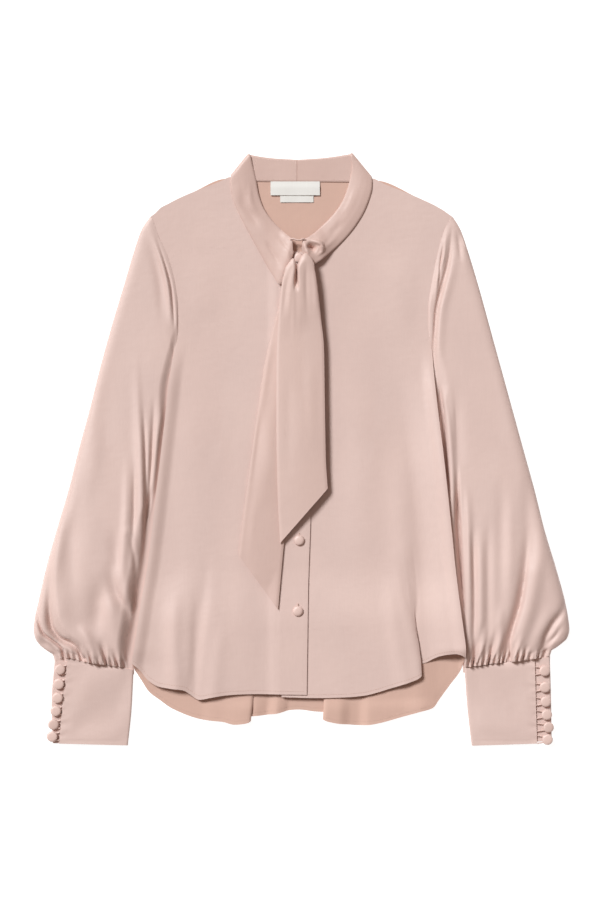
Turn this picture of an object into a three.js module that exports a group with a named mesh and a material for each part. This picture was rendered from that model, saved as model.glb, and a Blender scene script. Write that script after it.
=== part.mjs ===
import * as THREE from "three";

// A satin blouse with a tied neck band, laid out flat. Millimetres, neck towards +Y, front towards +Z.

// Walls and gaps
const CLOTH = 1.2; // one layer of satin
const BAND = 2.4; // doubled neck band and ties
const CUFF = 1.6; // doubled, pressed cuff
const LABEL = 0.6;
const GAP = 0.3; // air between two layers or two pieces at a seam
const LAYER = CLOTH + GAP;

// Covered buttons
const FRONT_BUTTON = { radius: 6.2, height: 3.4 };
const CUFF_BUTTON = { radius: 6.4, height: 3.4, shank: 3.1, lift: 2.1 };
const LOOP = 0.8; // radius of a rouleau loop's cord

// Body
const UNDERARM = { left: 132, right: 126 };
const BACK_MID = CLOTH / 2;
const FRONT_MID = BACK_MID + LAYER;
const SIDE_LIFT = 3.3; // the side edges lie over the sleeves
const SIDE_TUCK = 2.5; // how far a sleeve goes under the side edge
const HEM_SWELL = 4.2;

const SATIN = { color: 0xd8bbb0, roughness: 0.42, metalness: 0 };
const COVER = { color: 0xdcc0b5, roughness: 0.45, metalness: 0 };
const PAPER = { color: 0xe6e5e1, roughness: 0.8, metalness: 0 };

// Side edges of the body, shoulder tip to hem corner. Every panel has its cross rows at these v.
const SIDE = [
  { v: 0, leftX: -181, leftY: 279, rightX: 182, rightY: 279 },
  { v: 0.045, leftX: -172.8, leftY: 256, rightX: 171.2, rightY: 256 },
  { v: 0.09, leftX: -161.6, leftY: 231, rightX: 164.8, rightY: 231 },
  { v: 0.145, leftX: -153.2, leftY: 200, rightX: 158.6, rightY: 200 },
  { v: 0.2, leftX: -149.2, leftY: 170, rightX: 154.4, rightY: 170 },
  { v: 0.25, leftX: -148.9, leftY: 145, rightX: 154.4, rightY: 145 },
  { v: 0.285, leftX: -151.2, leftY: 126, rightX: 156.6, rightY: 126 },
  { v: 0.315, leftX: -154, leftY: 110, rightX: 158, rightY: 110 },
  { v: 0.365, leftX: -158, leftY: 84, rightX: 160.2, rightY: 84 },
  { v: 0.435, leftX: -162.2, leftY: 46, rightX: 164.2, rightY: 46 },
  { v: 0.53, leftX: -168, leftY: -4, rightX: 170.4, rightY: -4 },
  { v: 0.625, leftX: -174, leftY: -56, rightX: 176, rightY: -56 },
  { v: 0.715, leftX: -179.6, leftY: -104, rightX: 181, rightY: -104 },
  { v: 0.79, leftX: -184.8, leftY: -144, rightX: 185, rightY: -144 },
  { v: 0.85, leftX: -190.6, leftY: -176, rightX: 188.6, rightY: -174 },
  { v: 0.905, leftX: -195, leftY: -206, rightX: 192.4, rightY: -203 },
  { v: 0.945, leftX: -198.2, leftY: -227, rightX: 195.2, rightY: -223 },
  { v: 0.975, leftX: -200.8, leftY: -243, rightX: 197, rightY: -238 },
  { v: 1, leftX: -203.4, leftY: -257, rightX: 197.2, rightY: -250 },
];

// Outer edge of the sleeves, shoulder tip to cuff seam
const SLEEVE_OUT = [
  { y: 279, left: -181.6, right: 182.6 },
  { y: 263, left: -192, right: 192 },
  { y: 239, left: -200.4, right: 200.4 },
  { y: 191, left: -214.8, right: 214.8 },
  { y: 143, left: -229.2, right: 228 },
  { y: 95, left: -242.4, right: 241.2 },
  { y: 47, left: -254.4, right: 254.4 },
  { y: -1, left: -267.6, right: 267.6 },
  { y: -49, left: -279.6, right: 280.8 },
  { y: -97, left: -294, right: 292.8 },
  { y: -145, left: -307.2, right: 307.2 },
  { y: -181, left: -315.4, right: 317 },
  { y: -205, left: -320.6, right: 321.6 },
  { y: -217, left: -321.6, right: 322.8 },
  { y: -228, left: -319.4, right: 320.4 },
  { y: -236, left: -313.6, right: 313.8 },
  { y: -242, left: -306, right: 307.4 },
  { y: -247, left: -298.6, right: 301.4 },
  { y: -254, left: -296.4, right: 299.4 },
];

// Back panel: shoulders and neck seam
const BACK_TOP = [
  { u: 0, x: -181, y: 279 },
  { u: 0.06, x: -160, y: 294.4 },
  { u: 0.13, x: -132, y: 307.8 },
  { u: 0.27, x: -86.5, y: 325.6 },
  { u: 0.34, x: -56, y: 322 },
  { u: 0.5, x: -4, y: 322 },
  { u: 0.66, x: 57, y: 321 },
  { u: 0.73, x: 87.5, y: 323.4 },
  { u: 0.87, x: 140, y: 302.4 },
  { u: 0.94, x: 165, y: 290.4 },
  { u: 1, x: 182, y: 279 },
];

// Back panel: hem, a row for each column. shift and lift lay the two pleats of the middle.
const BACK_HEM = [
  { u: 0, x: -203.4, y: -257, shift: 0, lift: 0 },
  { u: 0.012, x: -199, y: -266.4, shift: 0, lift: 0 },
  { u: 0.035, x: -191.4, y: -278.6, shift: 0, lift: 0 },
  { u: 0.06, x: -182.8, y: -291.6, shift: 0, lift: 0 },
  { u: 0.09, x: -170.4, y: -301.2, shift: 0, lift: 0 },
  { u: 0.13, x: -154, y: -312.4, shift: 0, lift: 0 },
  { u: 0.2, x: -122.4, y: -324.3, shift: 0, lift: 0 },
  { u: 0.27, x: -98, y: -327.4, shift: 0, lift: 0 },
  { u: 0.31, x: -80, y: -331, shift: 0, lift: 2.4 },
  { u: 0.338, x: -67.6, y: -329.8, shift: 0, lift: 3.6 },
  { u: 0.344, x: -65.2, y: -328.6, shift: 2.4, lift: 3.6 },
  { u: 0.35, x: -62.8, y: -326.6, shift: 2.3, lift: 2.7 },
  { u: 0.356, x: -60.4, y: -325, shift: -2.2, lift: 1.8 },
  { u: 0.362, x: -58, y: -323.6, shift: -13, lift: 1.8 },
  { u: 0.368, x: -55.6, y: -322.8, shift: -17.4, lift: 0.9 },
  { u: 0.374, x: -53.2, y: -322, shift: -18, lift: 0 },
  { u: 0.41, x: -42, y: -319.4, shift: 0, lift: 0 },
  { u: 0.45, x: -27, y: -317.8, shift: 0, lift: 0.8 },
  { u: 0.48, x: -18, y: -314.4, shift: 0, lift: 0 },
  { u: 0.53, x: -2.4, y: -313.2, shift: 0, lift: 0 },
  { u: 0.57, x: 14, y: -315.2, shift: 0, lift: 0 },
  { u: 0.6, x: 24.4, y: -317, shift: 11.6, lift: 0 },
  { u: 0.606, x: 26.8, y: -318.4, shift: 11.4, lift: 0.9 },
  { u: 0.612, x: 29.2, y: -320.4, shift: 6.8, lift: 1.8 },
  { u: 0.618, x: 31.6, y: -322.8, shift: -3, lift: 1.8 },
  { u: 0.624, x: 34, y: -324.6, shift: -7.6, lift: 2.7 },
  { u: 0.63, x: 36.4, y: -326.2, shift: -7.4, lift: 3.6 },
  { u: 0.65, x: 45, y: -329.8, shift: 0, lift: 3.4 },
  { u: 0.68, x: 59, y: -331, shift: 0, lift: 0.9 },
  { u: 0.705, x: 69, y: -331.8, shift: 0, lift: 0.4 },
  { u: 0.73, x: 81, y: -331.4, shift: 0, lift: 2 },
  { u: 0.76, x: 93, y: -329.4, shift: 0, lift: 0.8 },
  { u: 0.81, x: 120, y: -322, shift: 0, lift: 0 },
  { u: 0.87, x: 142, y: -315.8, shift: 0, lift: 0 },
  { u: 0.91, x: 158.4, y: -311, shift: 0, lift: 0 },
  { u: 0.935, x: 166.4, y: -300.6, shift: 0, lift: 0 },
  { u: 0.962, x: 180.8, y: -281.2, shift: 0, lift: 0 },
  { u: 0.985, x: 190.4, y: -268.4, shift: 0, lift: 0 },
  { u: 1, x: 197.2, y: -250, shift: 0, lift: 0 },
];

// Left front, which lies over: a row for each column
const LEFT_FRONT = [
  { u: 0, topX: -181, topY: 279, x: -203.4, y: -257, shift: 0, lift: 0 },
  { u: 0.02, topX: -177, topY: 281.6, x: -199.2, y: -260.2, shift: 0, lift: 0 },
  { u: 0.06, topX: -168, topY: 290.2, x: -192, y: -267, shift: 0, lift: 0 },
  { u: 0.11, topX: -160, topY: 294.4, x: -184, y: -277, shift: 0, lift: 0 },
  { u: 0.17, topX: -146.4, topY: 301.4, x: -170.4, y: -285.2, shift: 0, lift: 0.4 },
  { u: 0.25, topX: -128, topY: 309.4, x: -156, y: -287.6, shift: 0, lift: 1.2 },
  { u: 0.33, topX: -107, topY: 317.6, x: -141.6, y: -289.4, shift: 0, lift: 0.6 },
  { u: 0.38, topX: -97, topY: 321.5, x: -133, y: -294.6, shift: 0, lift: 0 },
  { u: 0.43, topX: -86.5, topY: 325.6, x: -122, y: -301, shift: 0, lift: 1.6 },
  { u: 0.5, topX: -81.6, topY: 305, x: -108, y: -298.4, shift: 0, lift: 1 },
  { u: 0.57, topX: -73, topY: 286, x: -92, y: -295.8, shift: 0, lift: 0.2 },
  { u: 0.64, topX: -61, topY: 266, x: -74, y: -294.4, shift: 0, lift: 0 },
  { u: 0.72, topX: -46, topY: 251, x: -55, y: -294, shift: 0, lift: 0 },
  { u: 0.8, topX: -32, topY: 242, x: -38, y: -294.2, shift: 0, lift: 0 },
  { u: 0.86, topX: -21, topY: 238.4, x: -27, y: -294.4, shift: 0, lift: 0 },
  { u: 0.93, topX: -6, topY: 237, x: -10, y: -294.6, shift: 0, lift: 0 },
  { u: 1, topX: 9, topY: 237, x: 6.8, y: -294.8, shift: 0, lift: 0 },
];

// Right front, which lies under. Its hem has one fold laid over itself.
const RIGHT_FRONT = [
  { u: 0, topX: -22, topY: 236.6, x: -23.4, y: -297.6, shift: 0, lift: 0 },
  { u: 0.07, topX: -6, topY: 236.6, x: -8, y: -298.2, shift: 0, lift: 0 },
  { u: 0.14, topX: 10, topY: 236.8, x: 9, y: -298.7, shift: 0, lift: 0 },
  { u: 0.2, topX: 24, topY: 239.5, x: 24, y: -298.8, shift: 0, lift: 0 },
  { u: 0.28, topX: 38, topY: 246.5, x: 42, y: -298.4, shift: 0, lift: 0 },
  { u: 0.36, topX: 53, topY: 259.5, x: 60, y: -297.6, shift: 0, lift: 0 },
  { u: 0.44, topX: 66, topY: 277, x: 78, y: -295.6, shift: 0, lift: 0.2 },
  { u: 0.51, topX: 76, topY: 296, x: 92, y: -292, shift: 0, lift: 0.6 },
  { u: 0.57, topX: 83, topY: 311, x: 106, y: -287.6, shift: 0, lift: 1 },
  { u: 0.62, topX: 87.5, topY: 323.4, x: 119, y: -283.6, shift: 0, lift: 1.8 },
  { u: 0.67, topX: 100, topY: 318.4, x: 131, y: -279.6, shift: 0, lift: 3 },
  { u: 0.7, topX: 108, topY: 315.2, x: 139.4, y: -275.4, shift: 1.6, lift: 3.6 },
  { u: 0.71, topX: 110.5, topY: 314.2, x: 142, y: -272.2, shift: 2.4, lift: 2.7 },
  { u: 0.72, topX: 113, topY: 313.3, x: 144.6, y: -267.6, shift: -2.4, lift: 1.8 },
  { u: 0.73, topX: 115.5, topY: 312.3, x: 147.2, y: -263.8, shift: -9.6, lift: 0.9 },
  { u: 0.74, topX: 118, topY: 311.3, x: 149.8, y: -260.8, shift: -10, lift: 0 },
  { u: 0.78, topX: 127, topY: 307.7, x: 154.4, y: -255.4, shift: -2, lift: 0 },
  { u: 0.84, topX: 143, topY: 301, x: 163, y: -249.8, shift: 0, lift: 0.4 },
  { u: 0.9, topX: 158, topY: 293.6, x: 175, y: -246.6, shift: 0, lift: 0.8 },
  { u: 0.95, topX: 170, topY: 287.4, x: 186, y: -245.4, shift: 0, lift: 0.4 },
  { u: 0.98, topX: 178, topY: 281.8, x: 192.8, y: -247, shift: 0, lift: 0 },
  { u: 1, topX: 182, topY: 279, x: 197.2, y: -250, shift: 0, lift: 0 },
];

// Front edges of the two fronts, neck to hem
const FRONT_EDGE = [
  { y: 237, over: 9, under: -22 },
  { y: 150, over: 10.6, under: -20.6 },
  { y: 0, over: 11.8, under: -19.4 },
  { y: -78, over: 11.4, under: -19.8 },
  { y: -162, over: 8.8, under: -21.6 },
  { y: -298, over: 6.8, under: -23.4 },
];

// Soft ridges (high) and troughs (negative) of the fronts, each along a line
const FRONT_FOLDS = [
  { x0: -120, y0: 120, x1: -132, y1: -260, wide: 26, high: 1.6 },
  { x0: -64, y0: 60, x1: -78, y1: -280, wide: 20, high: 1.2 },
  { x0: 70, y0: 190, x1: 76, y1: -240, wide: 22, high: 1.4 },
  { x0: 118, y0: 40, x1: 124, y1: -170, wide: 16, high: 2.2 },
  { x0: 116, y0: 250, x1: 120, y1: 120, wide: 24, high: 1 },
  { x0: -120, y0: 240, x1: -112, y1: 150, wide: 24, high: 0.9 },
];

// Rows of a sleeve, armhole to cuff seam: where its cross line ends at the body and outside,
// its height, and how far it still follows the armhole and already follows the cuff
const SLEEVE_ROWS = [
  { inY: 131, outY: 278.6, high: 1.8, arm: 1, cuff: 0 },
  { inY: 126, outY: 271, high: 3.4, arm: 0.97, cuff: 0 },
  { inY: 120, outY: 262, high: 2.8, arm: 0.9, cuff: 0 },
  { inY: 109, outY: 240, high: 4.6, arm: 0.7, cuff: 0 },
  { inY: 93, outY: 210, high: 5.6, arm: 0.45, cuff: 0 },
  { inY: 71, outY: 172, high: 6.4, arm: 0.22, cuff: 0 },
  { inY: 43, outY: 130, high: 7.2, arm: 0.08, cuff: 0 },
  { inY: 11, outY: 86, high: 8, arm: 0, cuff: 0 },
  { inY: -24, outY: 42, high: 8.6, arm: 0, cuff: 0 },
  { inY: -60, outY: -2, high: 9.4, arm: 0, cuff: 0 },
  { inY: -96, outY: -46, high: 10.4, arm: 0, cuff: 0 },
  { inY: -130, outY: -88, high: 11.6, arm: 0, cuff: 0 },
  { inY: -160, outY: -126, high: 13, arm: 0, cuff: 0 },
  { inY: -186, outY: -158, high: 14.2, arm: 0, cuff: 0 },
  { inY: -207, outY: -184, high: 15, arm: 0, cuff: 0 },
  { inY: -224, outY: -205, high: 15.2, arm: 0, cuff: 0 },
  { inY: -237, outY: -220, high: 14.2, arm: 0, cuff: 0.1 },
  { inY: -247, outY: -231, high: 12.2, arm: 0, cuff: 0.35 },
  { inY: -254.5, outY: -240, high: 10.2, arm: 0, cuff: 0.7 },
  { inY: -260, outY: -248, high: 8.6, arm: 0, cuff: 1 },
  { inY: -264, outY: -253.6, high: 7.6, arm: 0, cuff: 1 },
];

// Ridges and troughs of the left sleeve, each along a line
const LEFT_SLEEVE_FOLDS = [
  { x0: -197, y0: 80, x1: -190, y1: -120, wide: 7, high: 2.6 },
  { x0: -208, y0: -20, x1: -212, y1: -150, wide: 8, high: 2.2 },
  { x0: -262, y0: 0, x1: -274, y1: -140, wide: 9, high: -2.4 },
  { x0: -291, y0: -95, x1: -294, y1: -175, wide: 7, high: 2.4 },
  { x0: -296, y0: -184, x1: -300, y1: -214, wide: 7, high: -4 },
  { x0: -292, y0: -196, x1: -276, y1: -228, wide: 6, high: 3.2 },
  { x0: -276, y0: -228, x1: -258, y1: -244, wide: 6, high: 3 },
  { x0: -318, y0: -206, x1: -309, y1: -225, wide: 5, high: -3.4 },
  { x0: -309, y0: -225, x1: -287, y1: -243, wide: 5, high: -4 },
  { x0: -281, y0: -216, x1: -250, y1: -240, wide: 7, high: 2.4 },
  { x0: -240, y0: -194, x1: -228, y1: -230, wide: 9, high: -2.6 },
  { x0: -234, y0: -156, x1: -208, y1: -208, wide: 8, high: -2.4 },
];

// Ridges and troughs of the right sleeve
const RIGHT_SLEEVE_FOLDS = [
  { x0: 180, y0: 226, x1: 168, y1: 120, wide: 6, high: -1.6 },
  { x0: 181, y0: 20, x1: 184, y1: -100, wide: 6, high: 3 },
  { x0: 205, y0: -60, x1: 205, y1: -190, wide: 8, high: -2.2 },
  { x0: 229, y0: -70, x1: 232, y1: -200, wide: 9, high: 2 },
  { x0: 270, y0: -60, x1: 268, y1: -160, wide: 8, high: -2.4 },
  { x0: 270, y0: -162, x1: 258, y1: -206, wide: 7, high: -4.6 },
  { x0: 258, y0: -206, x1: 252, y1: -238, wide: 6, high: -4.6 },
  { x0: 286, y0: -178, x1: 262, y1: -240, wide: 8, high: 3.2 },
  { x0: 315, y0: -190, x1: 300, y1: -222, wide: 6, high: -3.6 },
  { x0: 300, y0: -222, x1: 285, y1: -244, wide: 5, high: -4 },
];

// Neck band halves, a section for each row: seam edge, free edge, height of the middle and its dome
const LEFT_BAND = [
  { seamX: -4.35, seamY: 322.4, freeX: -4.35, freeY: 347.6, z: 1.2, dome: 0 },
  { seamX: -32, seamY: 322.4, freeX: -34, freeY: 349.4, z: 1.2, dome: 0 },
  { seamX: -58, seamY: 322.8, freeX: -53, freeY: 352, z: 1.2, dome: 0 },
  { seamX: -80.6, seamY: 327, freeX: -60.6, freeY: 353.6, z: 1.2, dome: 0 },
  { seamX: -84, seamY: 328.2, freeX: -62.4, freeY: 354.6, z: 2.85, dome: 0 },
  { seamX: -80.8, seamY: 325.4, freeX: -60.8, freeY: 352, z: 4.5, dome: 0 },
  { seamX: -84, seamY: 313, freeX: -57.6, freeY: 338, z: 4.5, dome: 0.8 },
  { seamX: -81.4, seamY: 299, freeX: -54, freeY: 322.8, z: 4.5, dome: 1.4 },
  { seamX: -75.4, seamY: 284.4, freeX: -51.4, freeY: 308, z: 4.5, dome: 1.2 },
  { seamX: -68.4, seamY: 270, freeX: -46.6, freeY: 293, z: 4.5, dome: 1.2 },
  { seamX: -60.6, seamY: 255.6, freeX: -40.4, freeY: 282, z: 4.5, dome: 1.6 },
  { seamX: -52.8, seamY: 241.2, freeX: -33.4, freeY: 273, z: 4.8, dome: 1.6 },
  { seamX: -43.2, seamY: 223.8, freeX: -25.6, freeY: 265, z: 5.6, dome: 2 },
  { seamX: -34, seamY: 208.4, freeX: -17.4, freeY: 257.4, z: 7.4, dome: 2.2 },
  { seamX: -26, seamY: 197.6, freeX: -10, freeY: 250, z: 9.8, dome: 1.6 },
  { seamX: -20.6, seamY: 199, freeX: -9.4, freeY: 236, z: 9.8, dome: 0.4 },
];
const RIGHT_BAND = [
  { seamX: -4.05, seamY: 322.4, freeX: -4.05, freeY: 347.6, z: 1.2, dome: 0 },
  { seamX: 28, seamY: 321.9, freeX: 26, freeY: 349.6, z: 1.2, dome: 0 },
  { seamX: 60, seamY: 321.6, freeX: 51, freeY: 353, z: 1.2, dome: 0 },
  { seamX: 81.6, seamY: 325, freeX: 58.6, freeY: 354.4, z: 1.2, dome: 0 },
  { seamX: 85, seamY: 325.8, freeX: 60.4, freeY: 355.6, z: 2.85, dome: 0 },
  { seamX: 82, seamY: 323, freeX: 59.4, freeY: 352.4, z: 4.5, dome: 0 },
  { seamX: 85.2, seamY: 312.6, freeX: 61.4, freeY: 340, z: 4.5, dome: 0.6 },
  { seamX: 81.8, seamY: 300, freeX: 59.4, freeY: 327, z: 4.5, dome: 1 },
  { seamX: 76, seamY: 285.6, freeX: 56, freeY: 314, z: 4.5, dome: 1.2 },
  { seamX: 67.4, seamY: 271, freeX: 50.4, freeY: 299, z: 4.5, dome: 1.2 },
  { seamX: 57.6, seamY: 258, freeX: 43.6, freeY: 288, z: 4.5, dome: 1.2 },
  { seamX: 47.8, seamY: 247.6, freeX: 35.4, freeY: 277.8, z: 4.8, dome: 1.4 },
  { seamX: 38.4, seamY: 238.8, freeX: 25.4, freeY: 268, z: 5.6, dome: 2 },
  { seamX: 29.4, seamY: 230.8, freeX: 15.6, freeY: 258.8, z: 7.4, dome: 3.4 },
  { seamX: 22, seamY: 225, freeX: 8, freeY: 253.6, z: 9.6, dome: 1.4 },
  { seamX: 15, seamY: 221.4, freeX: 1.8, freeY: 250.6, z: 9.8, dome: 3 },
  { seamX: 8, seamY: 220.4, freeX: 2.2, freeY: 243, z: 9.8, dome: 0.4 },
];

// Tie ends, top to tip. The front end is rolled over the crossing and creased at its top.
const FRONT_TIE_TOP = [
  { u: 0, x: -19.4, y: 213.2 },
  { u: 0.14, x: -14.8, y: 221 },
  { u: 0.28, x: -9.2, y: 227.6 },
  { u: 0.38, x: -6.6, y: 221.4 },
  { u: 0.46, x: -3.4, y: 221.6 },
  { u: 0.58, x: 0.6, y: 229.4 },
  { u: 0.72, x: 5.6, y: 233.8 },
  { u: 0.86, x: 12, y: 227.6 },
  { u: 1, x: 16, y: 218 },
];
const FRONT_TIE_EDGE = [
  { v: 0, leftX: -19.4, leftY: 213.2, rightX: 16, rightY: 218 },
  { v: 0.06, leftX: -23.2, leftY: 195.6, rightX: 19.6, rightY: 195 },
  { v: 0.17, leftX: -26.8, leftY: 158.4, rightX: 23.4, rightY: 160 },
  { v: 0.34, leftX: -29.2, leftY: 106.8, rightX: 27.4, rightY: 121 },
  { v: 0.56, leftX: -29.6, leftY: 34.8, rightX: 28.6, rightY: 45 },
  { v: 0.8, leftX: -28.2, leftY: -48, rightX: 29.8, rightY: -15 },
  { v: 1, leftX: -25.2, leftY: -113, rightX: 32, rightY: -47.4 },
];
const BACK_TIE_EDGE = [
  { v: 0, leftX: -17, leftY: 194, rightX: 9, rightY: 194 },
  { v: 0.07, leftX: -25.4, leftY: 173.4, rightX: 8, rightY: 170 },
  { v: 0.15, leftX: -33, leftY: 147.6, rightX: 5.6, rightY: 142 },
  { v: 0.29, leftX: -43.4, leftY: 103.2, rightX: 1.6, rightY: 92 },
  { v: 0.5, leftX: -53.6, leftY: 34.8, rightX: -5.6, rightY: 16 },
  { v: 0.66, leftX: -60.8, leftY: -15.6, rightX: -12, rightY: -44 },
  { v: 0.84, leftX: -68.4, leftY: -73, rightX: -20.4, rightY: -113 },
  { v: 1, leftX: -75, leftY: -127, rightX: -27.6, rightY: -192.4 },
];

// Cuffs: inner edge, outer edge and overlap edge from the sleeve seam to the wrist
const LEFT_CUFF = [
  { v: 0, inX: -201.2, inY: -265, lapX: -281.8, lapY: -251.4, outX: -296.2, outY: -254.4 },
  { v: 0.5, inX: -203.4, inY: -311, lapX: -287.6, lapY: -303, outX: -300, outY: -304 },
  { v: 1, inX: -208, inY: -356, lapX: -292.2, lapY: -353.6, outX: -298.4, outY: -353.2 },
];
const RIGHT_CUFF = [
  { v: 0, inX: 196.2, inY: -262.8, lapX: 282.4, lapY: -251.8, outX: 299.2, outY: -249.4 },
  { v: 0.5, inX: 199.6, inY: -309, lapX: 283.6, lapY: -303, outX: 300.6, outY: -300 },
  { v: 1, inX: 205, inY: -356.4, lapX: 285, lapY: -353.6, outX: 301.4, outY: -350.4 },
];
const CUFF_SEAM = [
  { s: 0, leftX: -201.2, leftY: -264.6, rightX: 196.2, rightY: -262.4 },
  { s: 0.28, leftX: -230.4, leftY: -260.2, rightX: 224, rightY: -258.6 },
  { s: 0.62, leftX: -262, leftY: -255.6, rightX: 262, rightY: -254.4 },
  { s: 0.86, leftX: -281.8, leftY: -251, rightX: 282.4, rightY: -251.2 },
  { s: 1, leftX: -295.6, leftY: -254, rightX: 298.6, rightY: -249 },
];

// Buttons: middles
const FRONT_BUTTONS = [
  { x: -3.4, y: 229.6 },
  { x: -3, y: 144 },
  { x: -3, y: 60 },
  { x: -3, y: -25.2 },
  { x: -2.2, y: -109.7 },
  { x: -3.8, y: -194.4 },
];
const CUFF_BUTTONS = [
  { leftX: -289.2, leftY: -264.5, rightX: 292.4, rightY: -266 },
  { leftX: -290.6, leftY: -282, rightX: 292.6, rightY: -286 },
  { leftX: -292, leftY: -298.6, rightX: 293.6, rightY: -303 },
  { leftX: -294.2, leftY: -314.3, rightX: 294.8, rightY: -318.7 },
  { leftX: -297, leftY: -330.6, rightX: 297, rightY: -334 },
  { leftX: -298.6, leftY: -345, rightX: 295.6, rightY: -348.6 },
];

const blouse = new THREE.Group();
blouse.name = "tie_neck_blouse";

function mix(a, b, t) {
  return a + (b - a) * t;
}

function smooth(t) {
  const k = Math.min(Math.max(t, 0), 1);
  return k * k * (3 - 2 * k);
}

// One column of a table at a place between its rows
function read(table, key, column, value) {
  const rising = table[1][key] > table[0][key];
  const inside = rising ? value : -value;
  for (let i = 1; i < table.length; i += 1) {
    const end = rising ? table[i][key] : -table[i][key];
    if (inside <= end || i === table.length - 1) {
      const start = rising ? table[i - 1][key] : -table[i - 1][key];
      const t = Math.min(Math.max((inside - start) / (end - start), 0), 1);
      return mix(table[i - 1][column], table[i][column], t);
    }
  }
  return table[0][column];
}

// Height of all ridges and troughs of a table at a point
function foldsAt(table, x, y) {
  let height = 0;
  for (const fold of table) {
    const dx = fold.x1 - fold.x0;
    const dy = fold.y1 - fold.y0;
    const t = ((x - fold.x0) * dx + (y - fold.y0) * dy) / (dx * dx + dy * dy);
    const away = Math.hypot(x - fold.x0 - dx * t, y - fold.y0 - dy * t);
    const fade = smooth((t + 0.2) / 0.4) * smooth((1.2 - t) / 0.4);
    height += fold.high * fade * Math.exp(-((away / fold.wide) ** 2));
  }
  return height;
}

// Normal of a grid of points, from the directions towards its neighbours
function normalAt(grid, i, j, closed) {
  const rows = grid.length;
  const columns = grid[0].length;
  const here = grid[i][j];
  const along = new THREE.Vector3();
  const across = new THREE.Vector3();
  for (const step of [-1, 1]) {
    const row = i + step;
    if (row >= 0 && row < rows) {
      along.addScaledVector(grid[row][j].clone().sub(here).normalize(), step);
    }
    const column = closed ? (j + step + columns) % columns : j + step;
    if (column >= 0 && column < columns) {
      across.addScaledVector(grid[i][column].clone().sub(here).normalize(), step);
    }
  }
  return across.cross(along).normalize();
}

// Closed wall on both sides of a grid of points. A closed grid is a tube open at both ends.
function wall(grid, thickness, closed = false) {
  const rows = grid.length;
  const columns = grid[0].length;
  const points = [];
  const faces = [];
  for (const side of [0.5, -0.5]) {
    for (let i = 0; i < rows; i += 1) {
      for (let j = 0; j < columns; j += 1) {
        const normal = normalAt(grid, i, j, closed);
        const point = grid[i][j].clone().addScaledVector(normal, thickness * side);
        points.push(point.x, point.y, point.z);
      }
    }
  }
  const under = rows * columns;
  const at = (i, j) => i * columns + (j % columns);
  const quad = (a, b, c, d) => faces.push(a, b, c, a, c, d);
  const lastColumn = closed ? columns : columns - 1;
  for (let i = 0; i < rows - 1; i += 1) {
    for (let j = 0; j < lastColumn; j += 1) {
      quad(at(i, j), at(i + 1, j), at(i + 1, j + 1), at(i, j + 1));
      quad(under + at(i, j), under + at(i, j + 1), under + at(i + 1, j + 1), under + at(i + 1, j));
    }
  }
  for (let j = 0; j < lastColumn; j += 1) {
    const end = rows - 1;
    quad(at(0, j), at(0, j + 1), under + at(0, j + 1), under + at(0, j));
    quad(at(end, j + 1), at(end, j), under + at(end, j), under + at(end, j + 1));
  }
  if (!closed) {
    const end = columns - 1;
    for (let i = 0; i < rows - 1; i += 1) {
      quad(at(i + 1, 0), at(i, 0), under + at(i, 0), under + at(i + 1, 0));
      quad(at(i, end), at(i + 1, end), under + at(i + 1, end), under + at(i, end));
    }
  }
  return solid(points, faces);
}

// Geometry from points and faces, turned so that its faces look outwards
function solid(points, faces) {
  let volume = 0;
  const corner = [new THREE.Vector3(), new THREE.Vector3(), new THREE.Vector3()];
  for (let i = 0; i < faces.length; i += 3) {
    corner.forEach((point, k) => point.fromArray(points, faces[i + k] * 3));
    volume += corner[0].dot(corner[1].clone().cross(corner[2]));
  }
  const turned = volume < 0 ? faces.map((_, k) => faces[k - (k % 3) + 2 - (k % 3)]) : faces;
  const geometry = new THREE.BufferGeometry();
  geometry.setAttribute("position", new THREE.Float32BufferAttribute(points, 3));
  geometry.setIndex(turned);
  geometry.computeVertexNormals();
  return geometry;
}

// Round body from a profile of radius and height, which starts and ends on its axis
function turned(profile, x, y, z, sides) {
  const points = [];
  const faces = [];
  points.push(x, y, z + profile[0].z);
  for (let k = 1; k < profile.length - 1; k += 1) {
    for (let n = 0; n < sides; n += 1) {
      const angle = (2 * Math.PI * n) / sides;
      points.push(x + profile[k].r * Math.cos(angle), y + profile[k].r * Math.sin(angle));
      points.push(z + profile[k].z);
    }
  }
  points.push(x, y, z + profile[profile.length - 1].z);
  const rings = profile.length - 2;
  const last = 1 + rings * sides;
  for (let n = 0; n < sides; n += 1) {
    const next = (n + 1) % sides;
    faces.push(0, 1 + n, 1 + next);
    for (let k = 0; k < rings - 1; k += 1) {
      const a = 1 + k * sides;
      const b = a + sides;
      faces.push(a + n, b + n, b + next, a + n, b + next, a + next);
    }
    faces.push(last, last - sides + next, last - sides + n);
  }
  return solid(points, faces);
}

// Round cord along a path that lies level
function cord(path, radius, sides) {
  const points = [];
  const faces = [];
  path.forEach((point, i) => {
    const before = path[Math.max(i - 1, 0)];
    const after = path[Math.min(i + 1, path.length - 1)];
    const along = after.clone().sub(before).normalize();
    const aside = new THREE.Vector3(-along.y, along.x, 0);
    for (let n = 0; n < sides; n += 1) {
      const angle = (2 * Math.PI * n) / sides;
      points.push(point.x + aside.x * radius * Math.cos(angle));
      points.push(point.y + aside.y * radius * Math.cos(angle));
      points.push(point.z + radius * Math.sin(angle));
    }
  });
  const last = (path.length - 1) * sides;
  for (let n = 0; n < sides; n += 1) {
    const next = (n + 1) % sides;
    for (let i = 0; i < path.length - 1; i += 1) {
      const a = i * sides;
      const b = a + sides;
      faces.push(a + n, b + n, b + next, a + n, b + next, a + next);
    }
    if (n > 0 && n < sides - 1) {
      faces.push(0, n, n + 1, last, last + n + 1, last + n);
    }
  }
  return solid(points, faces);
}

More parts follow.
